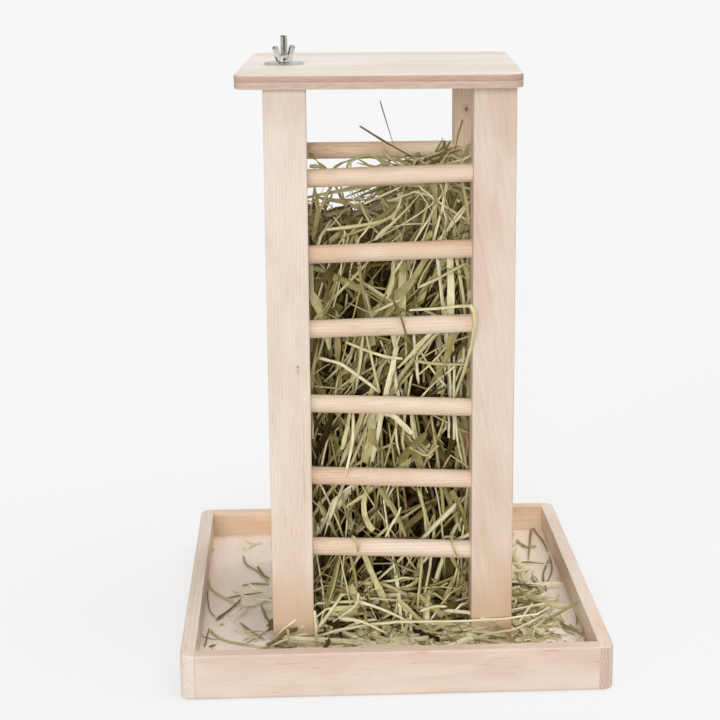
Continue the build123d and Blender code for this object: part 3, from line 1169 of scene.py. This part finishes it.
def grow(
    rng: np.random.Generator, middle: np.ndarray, heading: np.ndarray, length: np.ndarray,
    curl: float, kinked: float, rings: int = RINGS,
) -> np.ndarray:
    """Let strands grow both ways from their middles, curving and now and then kinking.

    Args:
        rng: Where the chances come from.
        middle: Each strand's middle.
        heading: The way that it runs there.
        length: Its length.
        curl: How far it turns from end to end, in radians, on average.
        kinked: The share of strands with one sharp bend.
        rings: How many points its path has.

    Returns:
        The paths, by strand, point and axis.
    """
    count = len(middle)
    way = unit(heading)
    axis = unit(np.cross(way, rng.normal(size=(count, 3))))
    turn = rng.normal(0.0, curl, (count, 1)) / (rings - 1)
    bend_at = rng.integers(2, rings - 1, count)
    bend = np.where(rng.random(count) < kinked, rng.normal(0.0, 0.9, count), 0.0)
    step = (length / (rings - 1))[:, None]
    points = [np.zeros((count, 3))]
    for ring in range(1, rings):
        points.append(points[-1] + way * step)
        angle = turn + np.where(bend_at == ring, bend, 0.0)[:, None]
        angle = angle + rng.normal(0.0, 0.05, (count, 1))
        way = unit(way * np.cos(angle) + np.cross(axis, way) * np.sin(angle))
        axis = unit(axis + rng.normal(0.0, 0.12, (count, 3)))
        axis = unit(axis - way * np.sum(axis * way, axis=1, keepdims=True))
    path = np.stack(points, axis=1)
    return path - path.mean(axis=1, keepdims=True) + middle[:, None, :]


def fill(data: bpy.types.bpy_prop_collection, key: str, values: np.ndarray, kind: type = np.float32) -> None:
    """Set one property of every item in a mesh's data."""
    data.foreach_set(key, values.astype(kind).ravel())


def hay_mesh(name: str, template: Template, batch: Batch, rng: np.random.Generator) -> Object:
    """Bend copies of a strand along a batch's paths, as one mesh.

    Args:
        name: The new object's name.
        template: The straight strand.
        batch: The paths, widths and tones.
        rng: Where each strand's turn and taper come from.

    Returns:
        The object, with its tone attribute and its UV map along the strands.
    """
    paths = batch.paths
    count, rings, _ = paths.shape
    each = (count, 1)
    number = np.arange(count)[:, None]
    along = unit(np.gradient(paths, axis=1))
    side = np.cross(along.mean(axis=1), rng.normal(size=(count, 3)))[:, None, :]
    side = unit(side - along * np.sum(side * along, axis=2, keepdims=True))
    over = np.cross(along, side)
    share = np.linspace(0.0, 1.0, rings)[None, :]
    twist = (rng.normal(0.0, 1.1, each) * share)[..., None]
    turned = side * np.cos(twist) + over * np.sin(twist)
    over = np.cross(along, turned)
    # strands taper to one end, are cut blunt or slant, and some have a swollen joint
    taper = 1.0 - rng.uniform(0.0, 0.6, each) * share**2.2
    blunt = np.minimum(1.0, rng.choice([0.3, 0.8, 0.95], each) + np.minimum(share, 1.0 - share) * 9.0)
    joint = rng.integers(1, rings - 1, each)
    swell = np.where(np.arange(rings)[None, :] == joint, rng.choice([1.0, 1.3], each), 1.0)
    width = batch.width[:, None] * taper * blunt * swell
    level, corner = template.level, template.corner
    x = corner[None, :, 0, None] * width[:, level, None]
    y = corner[None, :, 1, None] * (width * batch.flat)[:, level, None]
    points = (paths[:, level] + turned[:, level] * x + over[:, level] * y) * MM
    sizes = np.array([len(f) for f in template.faces])
    corners = np.concatenate([np.array(f) for f in template.faces])
    starts = np.concatenate(([0], np.cumsum(sizes)[:-1]))
    loops = (corners[None, :] + number * len(level)).ravel()
    mesh = bpy.data.meshes.new(name)
    mesh.vertices.add(count * len(level))
    fill(mesh.vertices, "co", points)
    mesh.loops.add(len(loops))
    fill(mesh.loops, "vertex_index", loops, np.int32)
    mesh.polygons.add(count * len(sizes))
    fill(mesh.polygons, "loop_start", starts[None, :] + number * len(corners), np.int32)
    mesh.update(calc_edges=True)
    mesh.validate()
    given = batch.tone[:, None]
    tone = np.clip(given + (share - 0.5) * rng.normal(0.0, 0.12, each), DARKEST, 1.0)
    tone = np.where(given < REDDEST, given, tone)
    fill(mesh.attributes.new("tone", "FLOAT", "POINT").data, "value", tone[:, level])
    steps = np.cumsum(np.linalg.norm(np.diff(paths, axis=1), axis=2), axis=1)
    gone = np.concatenate((np.zeros(each), steps), axis=1)
    # the ribs' map runs on along each strand, from a place of its own
    around = np.broadcast_to(corner[None, :, 0] + corner[None, :, 1] * 0.5, (count, len(level)))
    strip = columns(around * batch.width[:, None], gone[:, level] + number * 137.0 % 900.0) * MM
    fill(mesh.uv_layers.new(name="strand").data, "uv", strip.reshape(-1, 2)[loops])
    fill(mesh.polygons, "use_smooth", np.full(len(mesh.polygons), template.round), bool)
    piece = bpy.data.objects.new(name, mesh)
    bpy.context.scene.collection.objects.link(piece)
    return piece


def through(points: tuple) -> np.ndarray:
    """Draw a smooth path through a strand's points.

    Args:
        points: The points that it passes.

    Returns:
        The path, with its ends at the first and last points.
    """
    given = np.array(points, float)
    knots = np.vstack((2 * given[0] - given[1], given, 2 * given[-1] - given[-2]))
    place = np.linspace(0.0, len(given) - 1.0 - 1e-9, RINGS)
    span = place.astype(int)
    share = (place - span)[:, None]
    before, start, end, after = (knots[span + step] for step in range(4))
    return 0.5 * (
        2 * start + (end - before) * share + (2 * before - 5 * start + 4 * end - after) * share**2
        + (3 * start - before - 3 * end + after) * share**3
    )


# a strand given one by one: its width, its tone and the points that it passes, in millimetres
Laid = tuple[float, float, tuple[tuple[float, ...], ...]]


@dataclass(frozen=True)
class HandLaid:
    """The strands that catch the eye, laid one by one.

    Those on the front of the load are given by x and z and are pressed behind the rungs. Those on the
    tray are given by x and y. The others lie just where they are put.
    """

    on_front: tuple[Laid, ...] = (
        # under the top rung: a curved bunch that fans out to the right
        (4.2, 0.85, ((-11, 355), (12, 378), (34, 401))),
        (3.4, 0.75, ((-52, 364), (-27, 367), (-3, 372), (10, 383))),
        (2.8, 0.6, ((-39, 357), (-21, 364), (-5, 370))), (2.4, 0.9, ((-21, 385), (-6, 391), (10, 398))),
        (3.2, 0.62, ((-57, 379), (-51, 392), (-46, 402))), (4.8, 0.62, ((33, 401), (39, 382), (48, 356))),
        (4.2, 0.75, ((41, 400), (48, 381), (57, 356))), (3.8, 0.75, ((59, 402), (62, 385), (64, 367))),
        (4.0, 0.55, ((-63, 356), (-58, 379), (-61, 402))),
        # the second gap from the top
        (3.8, 0.75, ((-2, 307), (2, 322), (3, 342))), (6.6, 0.22, ((-53, 306), (-48, 322), (-43, 339))),
        (5.6, 0.75, ((5, 310), (12, 319), (23, 325))), (2.6, 0.8, ((23, 315), (41, 323), (64, 334))),
        (3.6, 0.85, ((-35, 303), (-25, 298), (-15, 294), (-3, 299), (10, 306))),
        # the third gap: long pale straws over dark leaf
        (3.4, 0.97, ((-59, 257), (-49, 254), (-40, 251), (-25, 239), (-9, 225))),
        (3.0, 0.8, ((-20, 278), (-16, 258), (-9, 225))), (3.0, 0.8, ((-22, 276), (-25, 253), (-29, 225))),
        (3.4, 0.7, ((20, 253), (38, 250), (66, 249))), (5.6, 0.4, ((21, 248), (11, 238), (5, 225))),
        (3.6, 0.85, ((36, 277), (21, 262), (6, 247))), (6.0, 0.52, ((53, 275), (46, 253), (33, 229))),
        (3.2, 0.9, ((-37, 269), (-25, 264), (-4, 257), (10, 255))),
        (4.2, 0.6, ((-67, 229), (-63, 255), (-58, 277))),
        # the fourth gap: a broad bent blade and curled leaves
        (4.6, 0.97, ((-27, 209), (-14, 209), (0, 206), (9, 199), (18, 190))),
        (9.5, 0.48, ((-17, 194), (-13, 184), (-7, 174))), (7.2, 0.36, ((6, 162), (17, 177), (30, 191))),
        (3.0, 0.7, ((16, 178), (30, 169), (40, 179))), (3.0, 0.9, ((54, 208), (56, 184), (61, 161))),
        (1.8, 0.02, ((35, 191), (45, 180))), (3.6, 0.85, ((-34, 210), (-37, 194), (-41, 177))),
        (2.6, 0.02, ((63, 190), (66, 173))),
        # the fifth gap
        (4.8, 0.97, ((-45, 135), (-51, 117), (-57, 98))), (3.6, 1.0, ((8, 126), (2, 112), (-5, 97))),
        (4.4, 0.55, ((-9, 141), (4, 121), (13, 98))), (5.4, 0.42, ((51, 138), (60, 120), (64, 100))),
        (3.4, 0.75, ((23, 142), (28, 121), (30, 99))),
        # under the lowest rung
        (5.2, 0.8, ((-23, 83), (-13, 59), (0, 29))), (3.0, 0.75, ((27, 83), (24, 54), (21, 21))),
        (4.4, 0.7, ((28, 45), (38, 52), (48, 57))), (5.8, 0.58, ((52, 79), (60, 64), (67, 48))),
        (3.2, 0.65, ((-44, 79), (-49, 57), (-57, 32))),
    )
    through_gaps: tuple[Laid, ...] = (
        # hanging over the rungs, one of them bent over the right post's corner
        (3.2, 0.97, ((-31, -82, 212), (-32, -84, 187), (-36, -91, 170), (-39, -94, 157))),
        (3.8, 0.84, ((16, -78, 296), (41, -82, 298), (59, -92, 302), (66, -102, 303), (68, -102, 293),
            (67, -102, 278), (61, -92, 249), (54, -80, 222))),
        (2.4, 0.36, ((3, -79, 303), (7, -88, 296), (10, -93, 287), (13, -88, 276), (18, -80, 266))),
        (3.0, 0.75, ((-33, -84, 102), (-29, -93, 100), (-29, -94, 92))),
        (2.0, 0.7, ((51, -82, 101), (51, -94, 95), (56, -92, 82))),
        # on the heap before the rack, the longest lying from one post to past the other
        (3.0, 0.97, ((-66, -106, 21), (-41, -104, 27), (-5, -102, 31), (31, -102, 31), (69, -102, 31),
            (116, -102, 34), (133, -100, 41))),
        (2.8, 0.9, ((68, -106, 17), (90, -108, 23), (103, -108, 25), (125, -104, 34))),
        (3.2, 0.97, ((-30, -88, 45), (-9, -92, 39), (15, -98, 29))),
        (4.6, 0.8, ((-101, -104, 19), (-85, -104, 19), (-68, -102, 22))),
        (3.0, 0.85, ((-66, -106, 45), (-65, -110, 31), (-65, -112, 15))),
        (2.8, 0.75, ((-89, -108, 30), (-88, -110, 23), (-87, -112, 15))),
        (3.6, 0.9, ((-29, -92, 54), (-32, -94, 44), (-51, -100, 32))),
        (3.4, 0.85, ((23, -94, 37), (35, -92, 40), (47, -92, 40))),
        (3.0, 0.7, ((67, -116, 20), (80, -120, 20), (95, -124, 17))),
        (4.4, 0.62, ((5, -90, 46), (16, -96, 37), (26, -102, 25))),
        (3.0, 0.95, ((-45, -100, 35), (-26, -104, 33), (-5, -112, 25))),
        (4.2, 0.6, ((41, -90, 34), (54, -98, 27), (64, -106, 15))),
        # standing up over the load
        (1.9, 0.33, ((-20, 24, 436), (4, 22, 421), (36, 18, 403))),
        (1.3, 0.4, ((-2, 30, 457), (3, 28, 440), (9, 26, 420))),
        (4.2, 0.8, ((-45, -30, 407), (-37, -30, 412), (-22, -30, 416), (-5, -28, 415), (4, -26, 408))),
        (4.8, 0.7, ((-64, -40, 422), (-58, -38, 415), (-49, -34, 406))),
        (3.2, 0.8, ((-64, -55, 413), (-56, -52, 412), (-47, -46, 407))),
        (2.8, 0.33, ((43, -20, 406), (48, -20, 416), (55, -18, 427))),
        (1.8, 0.3, ((17, 0, 403), (39, 4, 410), (66, 8, 416))),
        (1.5, 0.45, ((72, 52, 437), (68, 50, 425), (65, 46, 411))),
        (2.8, 0.8, ((-4, -20, 422), (4, -22, 414), (13, -24, 407))),
        (3.2, 0.75, ((56, -8, 414), (63, -10, 411), (70, -14, 408))),
        (3.4, 0.72, ((-34, -46, 408), (-29, -44, 416), (-12, -40, 419), (4, -36, 406))),
        (2.8, 0.72, ((21, -40, 408), (26, -40, 416), (34, -40, 408))),
        # a straw that leans on the right rail
        (2.8, 0.55, ((131, -71, 15), (149, -65, 22), (167, -62, 30))),
    )
    on_tray: tuple[Laid, ...] = (
        # left of the rack: a few thin straws and dark leafy bits
        (1.8, 0.8, ((-164, 44), (-158, 19), (-143, -5), (-127, -22), (-116, -18), (-104, -3))),
        (1.9, 0.55, ((-132, 103), (-129, 82), (-117, 61), (-108, 38))),
        (2.3, 0.4, ((-152, -50), (-144, -34), (-136, -17), (-131, -3))),
        (1.7, 0.42, ((-145, -1), (-128, 7), (-112, 11))),
        (2.4, 0.85, ((-155, -73), (-147, -88), (-136, -97), (-121, -104), (-105, -111))),
        (1.3, 0.42, ((-163, 25), (-159, -22), (-152, -44))),
        (1.5, 0.4, ((-157, -68), (-158, -87), (-159, -103))),
        (2.6, 0.45, ((-113, -19), (-109, -42), (-105, -58))),
        (1.9, 0.48, ((-131, -56), (-120, -76), (-108, -95))),
        (1.0, 0.36, ((-98, -56), (-111, -81), (-124, -99))),
        (1.7, 0.5, ((-131, 29), (-119, 33), (-107, 30))), (2.2, 0.4, ((-118, 74), (-112, 53), (-106, 43))),
        # right of the rack: leafy stalks along the rail and pale bits before them
        (1.9, 0.5, ((154, 182), (156, 153), (160, 122), (160, 95))),
        (1.9, 0.46, ((160, 89), (157, 49), (145, 12))), (1.8, 0.48, ((127, 70), (139, 71), (154, 65))),
        (3.7, 0.44, ((146, -72), (150, -87), (156, -96))), (2.6, 0.5, ((152, 156), (145, 115), (139, 78))),
        (3.2, 0.8, ((137, 39), (139, 0))), (4.2, 0.85, ((142, 3), (136, -25), (131, -47))),
        (3.2, 0.85, ((124, 48), (124, 21))), (2.6, 0.8, ((112, -37), (124, -29), (134, -34))),
        (3.0, 0.75, ((114, -55), (120, -73), (134, -82))), (2.0, 0.4, ((157, 74), (147, 37), (145, 0))),
        (2.4, 0.6, ((134, 129), (141, 112), (151, 112))), (2.2, 0.85, ((114, -83), (126, -96), (140, -89))),
    )


@dataclass
class HayLoad:
    """The hay: packed behind the rungs, spilt in front of the rack and strewn about the tray."""

    floor: float = 13.0
    rack_x: float = 75.0
    rack_y: float = 75.4
    rack_half: float = 66.0  # from the rack's middle to where hay slides out
    post_x: tuple[float, float] = (65.0, 102.5)  # a post's sides, with a little room to spare
    post_y: tuple[float, float] = (68.5, 99.5)
    lowest_rung: float = 94.5
    rung_pitch: float = 62.5
    bulge: float = 6.5  # how far the hay swells out between two rungs
    low_crown: float = 357.0
    high_crown: float = 400.0
    tray_inside: float = 162.0
    # how far the strands lean, and how much light each gap has, by height: the dimmest gap is under
    # the overhanging crown
    lean: tuple = ((60.0, 125.0, 188.0, 250.0, 313.0, 375.0), (0.0, 0.1, 0.0, 0.35, 0.6, 0.3))
    light: tuple = ((60.0, 126.0, 188.0, 250.0, 312.0, 375.0), (0.0, 0.06, 0.0, 0.04, -0.17, 0.05))
    # the litter: how many bits, the middle of their patch and its spread
    patches: tuple = (
        (60, (134.0, -50.0), (16.0, 66.0)), (90, (118.0, -62.0), (12.0, 40.0)),
        (40, (118.0, -128.0), (26.0, 14.0)), (26, (-125.0, -90.0), (20.0, 44.0)),
        (60, (10.0, -126.0), (62.0, 16.0)), (30, (0.0, 130.0), (80.0, 16.0)),
    )
    finish: DriedGrass = field(default_factory=DriedGrass)
    laid: HandLaid = field(default_factory=HandLaid)

    def build(self) -> None:
        """Make every batch and let it ride on the stand."""
        self.material = self.finish.material()
        stem = model_template(Strand.STEM, RINGS)
        blade = model_template(Strand.BLADE, RINGS)
        chaff = model_template(Strand.BLADE, BIT_RINGS)
        self._show("hay_core", blade, self._core(), 11)
        for number, side in enumerate(("front", "rear", "left", "right")):
            blades = self._wall(side, 300, Strand.BLADE, 21 + number)
            self._show(f"hay_{side}_blades", blade, blades, 31 + number)
            stems = self._wall(side, 330, Strand.STEM, 41 + number)
            self._show(f"hay_{side}_stems", stem, stems, 51 + number)
        self._show("hay_top", blade, self._top(), 61)
        self._show("hay_spill_blades", blade, self._spill(230, Strand.BLADE, 71), 72)
        self._show("hay_spill_stems", stem, self._spill(150, Strand.STEM, 73), 74)
        self._show("hay_chaff", chaff, self._litter(), 81)
        self._show("hay_laid_blades", blade, self._laid(Strand.BLADE), 91)
        self._show("hay_laid_stems", stem, self._laid(Strand.STEM), 91)

    def _show(self, name: str, template: Template, batch: Batch, seed: int) -> None:
        """Make one batch a piece of the stand.

        Args:
            name: The piece's name.
            template: The strand that it copies.
            batch: Its strands.
            seed: Where their chances start.
        """
        piece = hay_mesh(name, template, batch, np.random.default_rng(seed))
        piece.data.materials.append(self.material)
        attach(piece, "stand")
        log.info("%s: %d strands, %d faces", name, len(batch.width), len(piece.data.polygons))

    def _crown(self, x: np.ndarray) -> np.ndarray:
        """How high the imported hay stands: lower at the left, higher at the right."""
        return self.low_crown + (self.high_crown - self.low_crown) * eased((x + 24.0) / 66.0)

    def _packed(self, points: np.ndarray, inset: np.ndarray) -> np.ndarray:
        """Press points back inside the rack, so that strands lie along the rungs and posts.

        Args:
            points: Paths in millimetres.
            inset: How far inside the rack's wall each strand keeps.

        Returns:
            The paths, all behind the rungs and between the posts.
        """
        x, y, z = np.moveaxis(points, -1, 0)
        z = np.maximum(z, self.floor + 1.5)
        level = (z - self.lowest_rung) / self.rung_pitch
        away = np.abs(level - np.clip(np.rint(level), 0, 5)) * self.rung_pitch
        swell = self.bulge * eased((away - 14.0) / 13.0) - inset[:, None]
        wide, deep = self.rack_x + swell, self.rack_y + swell
        x = np.clip(x, -wide, wide)
        y = np.clip(y, -deep, deep)
        over_x = np.abs(x) - self.post_x[0]
        over_y = np.abs(y) - self.post_y[0]
        corner = (over_x > 0) & (over_y > 0)
        x = np.where(corner & (over_x <= over_y), np.sign(x) * self.post_x[0], x)
        y = np.where(corner & (over_x > over_y), np.sign(y) * self.post_y[0], y)
        return columns(x, y, z)

    def _core(self) -> Batch:
        """Fill the middle of the load, with strands painted dark for the shade there.

        Returns:
            Broad strands in painted shade, and in painted light near the top, where daylight reaches them.
        """
        rng = np.random.default_rng(1)
        count = 900
        room = ((-56, 56), (-56, 56), (16, 385))
        middle = columns(*(rng.uniform(low, high, count) for low, high in room))
        middle = middle[middle[:, 2] < self._crown(middle[:, 0]) - 12.0]
        count = len(middle)
        heading = rng.normal(size=(count, 3)) * (0.8, 0.8, 1.0)
        paths = grow(rng, middle, heading, rng.uniform(60, 130, count), 0.9, 0.3)
        paths = self._packed(paths, rng.uniform(20.0, 44.0, count))
        paths[..., 2] = np.minimum(paths[..., 2], self._crown(paths[..., 0]) + 4.0)
        # painted shade: dark tones in the middle of the load, with painted light towards the top
        top = eased((paths[..., 2].max(axis=1) - 320.0) / 60.0)
        tone = rng.uniform(DARKEST, 0.17, count) + 0.5 * top
        return Batch(paths, rng.uniform(3.5, 8.0, count), tone, Strand.BLADE.flat)

    def _wall(self, side: str, count: int, kind: Strand, seed: int) -> Batch:
        """Lay the hay that shows on one side of the rack.

        Args:
            side: front, rear, left or right.
            count: How many strands.
            kind: Stems or blades.
            seed: Where its chances start.

        Returns:
            Strands that lie along that side, with painted shade that deepens inwards and painted light
            towards the crown.
        """
        rng = np.random.default_rng(seed)
        inset = rng.uniform(0.0, 1.0, count) ** 1.15 * 28.0 + 2.0
        across = rng.uniform(-66, 66, count)
        height = rng.uniform(15, 398, count)
        # tufts lie one way, and each height of the load leans its own way
        tufts = rng.normal(0.0, 0.42, (10, 16))
        tuft = tufts[((across + 70.0) // 15.0).astype(int), (height // 26.0).astype(int)]
        combed = np.interp(height, *self.lean) + tuft + rng.normal(0.0, 0.16, count)
        tilt = np.where(rng.random(count) < 0.78, combed, rng.uniform(-1.5, 1.5, count))
        into = rng.normal(0, 0.16, count)
        out = -1 if side in ("front", "left") else 1
        if side in ("front", "rear"):
            middle = columns(across, out * (self.rack_y + 4 - inset), height)
            heading = columns(np.sin(tilt), into, np.cos(tilt))
        else:
            middle = columns(out * (self.rack_x + 4 - inset), across, height)
            heading = columns(into, np.sin(tilt), np.cos(tilt))
        keep = height < self._crown(middle[:, 0]) - 6.0
        middle, heading, inset = middle[keep], heading[keep], inset[keep]
        count = len(middle)
        paths = grow(rng, middle, heading, rng.uniform(45, 150, count), 0.7, 0.5)
        paths = self._packed(paths, inset)
        above = np.maximum(paths[..., 2] - self._crown(paths[..., 0]), 0.0)
        paths[..., 2] -= above * (0.88 if side == "rear" else 0.65)
        slim = kind is Strand.STEM
        width = rng.gamma(3.0, 0.45, count) + 0.8 if slim else rng.gamma(3.0, 0.95, count) + 2.0
        # painted light and shade: paler towards the crown, each gap lit by its own amount, and darker deeper
        # inside the load
        top = eased((paths[..., 2].max(axis=1) - 330.0) / 50.0)
        light = np.interp(middle[:, 2], *self.light)
        tone = rng.normal(0.9 if slim else 0.79, 0.26, count) + 0.26 * top + light - inset * 0.033
        tone = np.clip(tone, DARKEST + 0.38 * top, 1.0)
        if slim:
            tone = np.where(rng.random(count) < 0.03, 0.02, tone)
        return Batch(paths, np.minimum(width, 7.5), tone, kind.flat)

    def _top(self) -> Batch:
        """Strew the loose strands over the load.

        Returns:
            Strands that lie over the crown, few of them at the left.
        """
        rng = np.random.default_rng(5)
        count, ceiling = 130, 404.0
        x = rng.uniform(-64, 64, count)
        x = np.where((x < 0) & (rng.random(count) < 0.45), -x, x)
        y = rng.uniform(-66, 66, count)
        crown = self._crown(x)
        z = crown + rng.uniform(-10.0, 6.0, count) + rng.random(count) ** 2 * (ceiling - crown)
        heading = columns(*(rng.normal(0, spread, count) for spread in (1, 0.7, 0.55)))
        paths = grow(rng, columns(x, y, z), heading, rng.uniform(45, 120, count), 0.8, 0.25)
        paths = self._packed(paths, rng.uniform(1.5, 12.0, count))
        limit = ceiling + 5.0 * np.clip(paths[..., 0] / 60.0, 0.0, 1.0)
        high = paths[..., 2]
        paths[..., 2] = np.where(high > limit, limit + (high - limit) * 0.3, high)
        tone = np.clip(rng.normal(0.82, 0.18, count), 0.3, 1.0)
        width = np.minimum(rng.gamma(3.0, 0.5, count) + 1.0, 4.5)
        return Batch(paths, width, tone, Strand.BLADE.flat)

    def _aside(self, points: np.ndarray) -> np.ndarray:
        """Push points out of the posts' feet and the tray's rails.

        Args:
            points: Paths in millimetres.

        Returns:
            The paths, clear of the wood.
        """
        x, y, z = np.moveaxis(points, -1, 0)
        x, y = (np.clip(c, -self.tray_inside, self.tray_inside) for c in (x, y))
        gaps = np.stack(
            (np.abs(x) - self.post_x[0], self.post_x[1] - np.abs(x),
             np.abs(y) - self.post_y[0], self.post_y[1] - np.abs(y)),
        )
        inside = np.all(gaps > 0.0, axis=0)
        nearest = np.argmin(gaps, axis=0)
        for place, edge in enumerate(self.post_x):
            x = np.where(inside & (nearest == place), np.sign(x) * edge, x)
        for place, edge in enumerate(self.post_y):
            y = np.where(inside & (nearest == place + 2), np.sign(y) * edge, y)
        return columns(x, y, z)

    def _spill(self, count: int, kind: Strand, seed: int) -> Batch:
        """Lay the hay that has slid out at the foot of the rack, most of it to the front.

        Args:
            count: How many strands.
            kind: Stems or blades.
            seed: Where its chances start.

        Returns:
            Strands heaped against the load and thinning out over the tray.
        """
        rng = np.random.default_rng(seed)
        way = rng.choice(4, count, p=(0.73, 0.08, 0.01, 0.18))
        out = rng.random(count) ** 1.5
        across = rng.normal(0.0, 34.0, count)
        edge = self.rack_half + out * 74.0
        to_front, to_back, to_left = (way == number for number in range(3))
        x = np.select([to_front, to_back, to_left], [across + 14.0 * out, across, -edge], edge)
        y = np.select([to_front, to_back, to_left], [-edge, edge, across], across)
        reach = np.maximum(np.abs(x), np.abs(y)) - self.rack_half
        pile = 50.0 * np.clip(1.0 - reach / 44.0, 0.0, 1.0) ** 1.6 + 3.0
        z = self.floor + 1.2 + pile * rng.random(count)
        heading = columns(*(rng.normal(0, spread, count) for spread in (1.0, 0.5, 0.1)))
        length = rng.uniform(30, 110, count) * (1.0 - 0.4 * out)
        paths = grow(rng, columns(x, y, z), heading, length, 0.6, 0.4)
        ground = self.floor + 1.0 + rng.uniform(0.2, 6.0, count)[:, None]
        far = np.maximum(np.abs(paths[..., 0]), np.abs(paths[..., 1])) - self.rack_half
        limit = self.floor + 3.0 + 54.0 * np.clip(1.0 - far / 46.0, 0.0, 1.0) ** 1.5
        paths[..., 2] = np.clip(paths[..., 2], ground, np.maximum(limit, ground + 1.0))
        paths = self._aside(paths)
        # painted shade: strands deeper in the heap are darker
        depth = np.clip(limit.mean(axis=1) - paths[..., 2].mean(axis=1), 0.0, 20.0)
        slim = kind is Strand.STEM
        width = rng.gamma(3.0, 0.5, count) + 1.0 if slim else rng.gamma(3.0, 0.95, count) + 2.4
        tone = np.clip(rng.normal(1.22 if slim else 1.15, 0.2, count) - depth * 0.042, 0.06, 1.0)
        return Batch(paths, np.minimum(width, 7.0), tone, kind.flat)

    def _laid(self, kind: Strand) -> Batch:
        """Lay the strands that are given one by one.

        Args:
            kind: Blades, which are the broad ones, or stems.

        Returns:
            Those strands.
        """
        rows = []
        for width, tone, route in self.laid.on_front:
            path = through(tuple((x, -self.rack_y - 5.0, z) for x, z in route))
            rows.append((width, tone, self._packed(path[None], np.zeros(1))[0]))
        for width, tone, route in self.laid.through_gaps:
            rows.append((width, tone, through(route)))
        for width, tone, route in self.laid.on_tray:
            path = through(tuple((x, y, self.floor + 0.6 + width / 2) for x, y in route))
            rows.append((width, tone, self._aside(path)))
        chosen = [row for row in rows if (row[0] > 3.5) == (kind is Strand.BLADE)]
        width, tone, paths = (np.array(part) for part in zip(*chosen))
        return Batch(paths, width, tone, kind.flat)

    def _litter(self) -> Batch:
        """Strew short bits about the tray's floor, most of them at the right.

        Returns:
            The bits, some with one end raised.
        """
        rng = np.random.default_rng(6)
        x, y = (
            np.concatenate([rng.normal(middle[axis], spread[axis], n) for n, middle, spread in self.patches])
            for axis in (0, 1)
        )
        count = len(x)
        heading = columns(rng.normal(0, 1, count), rng.normal(0, 1, count), np.zeros(count))
        middle = columns(x, y, np.full(count, self.floor))
        paths = grow(rng, middle, heading, rng.uniform(6, 26, count), 0.9, 0.2, BIT_RINGS)
        lean = rng.random((count, 1)) ** 3 * 7.0 * np.linspace(0.0, 1.0, BIT_RINGS)[None, :]
        paths[..., 2] = self.floor + 1.3 + lean
        paths = self._aside(paths)
        dark = rng.random(count) < 0.16
        tone = np.where(dark, rng.uniform(0.36, 0.55, count), rng.uniform(0.75, 1.0, count))
        return Batch(paths, rng.uniform(0.9, 2.9, count), tone, 0.3)


# ---------------------------------------------------------------- the whole feeder
def main() -> None:
    """Build the studio, dress the woodwork, make the fittings and lay in the hay."""
    logging.basicConfig(level=logging.INFO, format="%(name)s: %(message)s")
    Studio().build()
    Woodwork().dress()
    LidFastening().build()
    HayLoad().build()
    take()


if __name__ == "__main__":
    main()
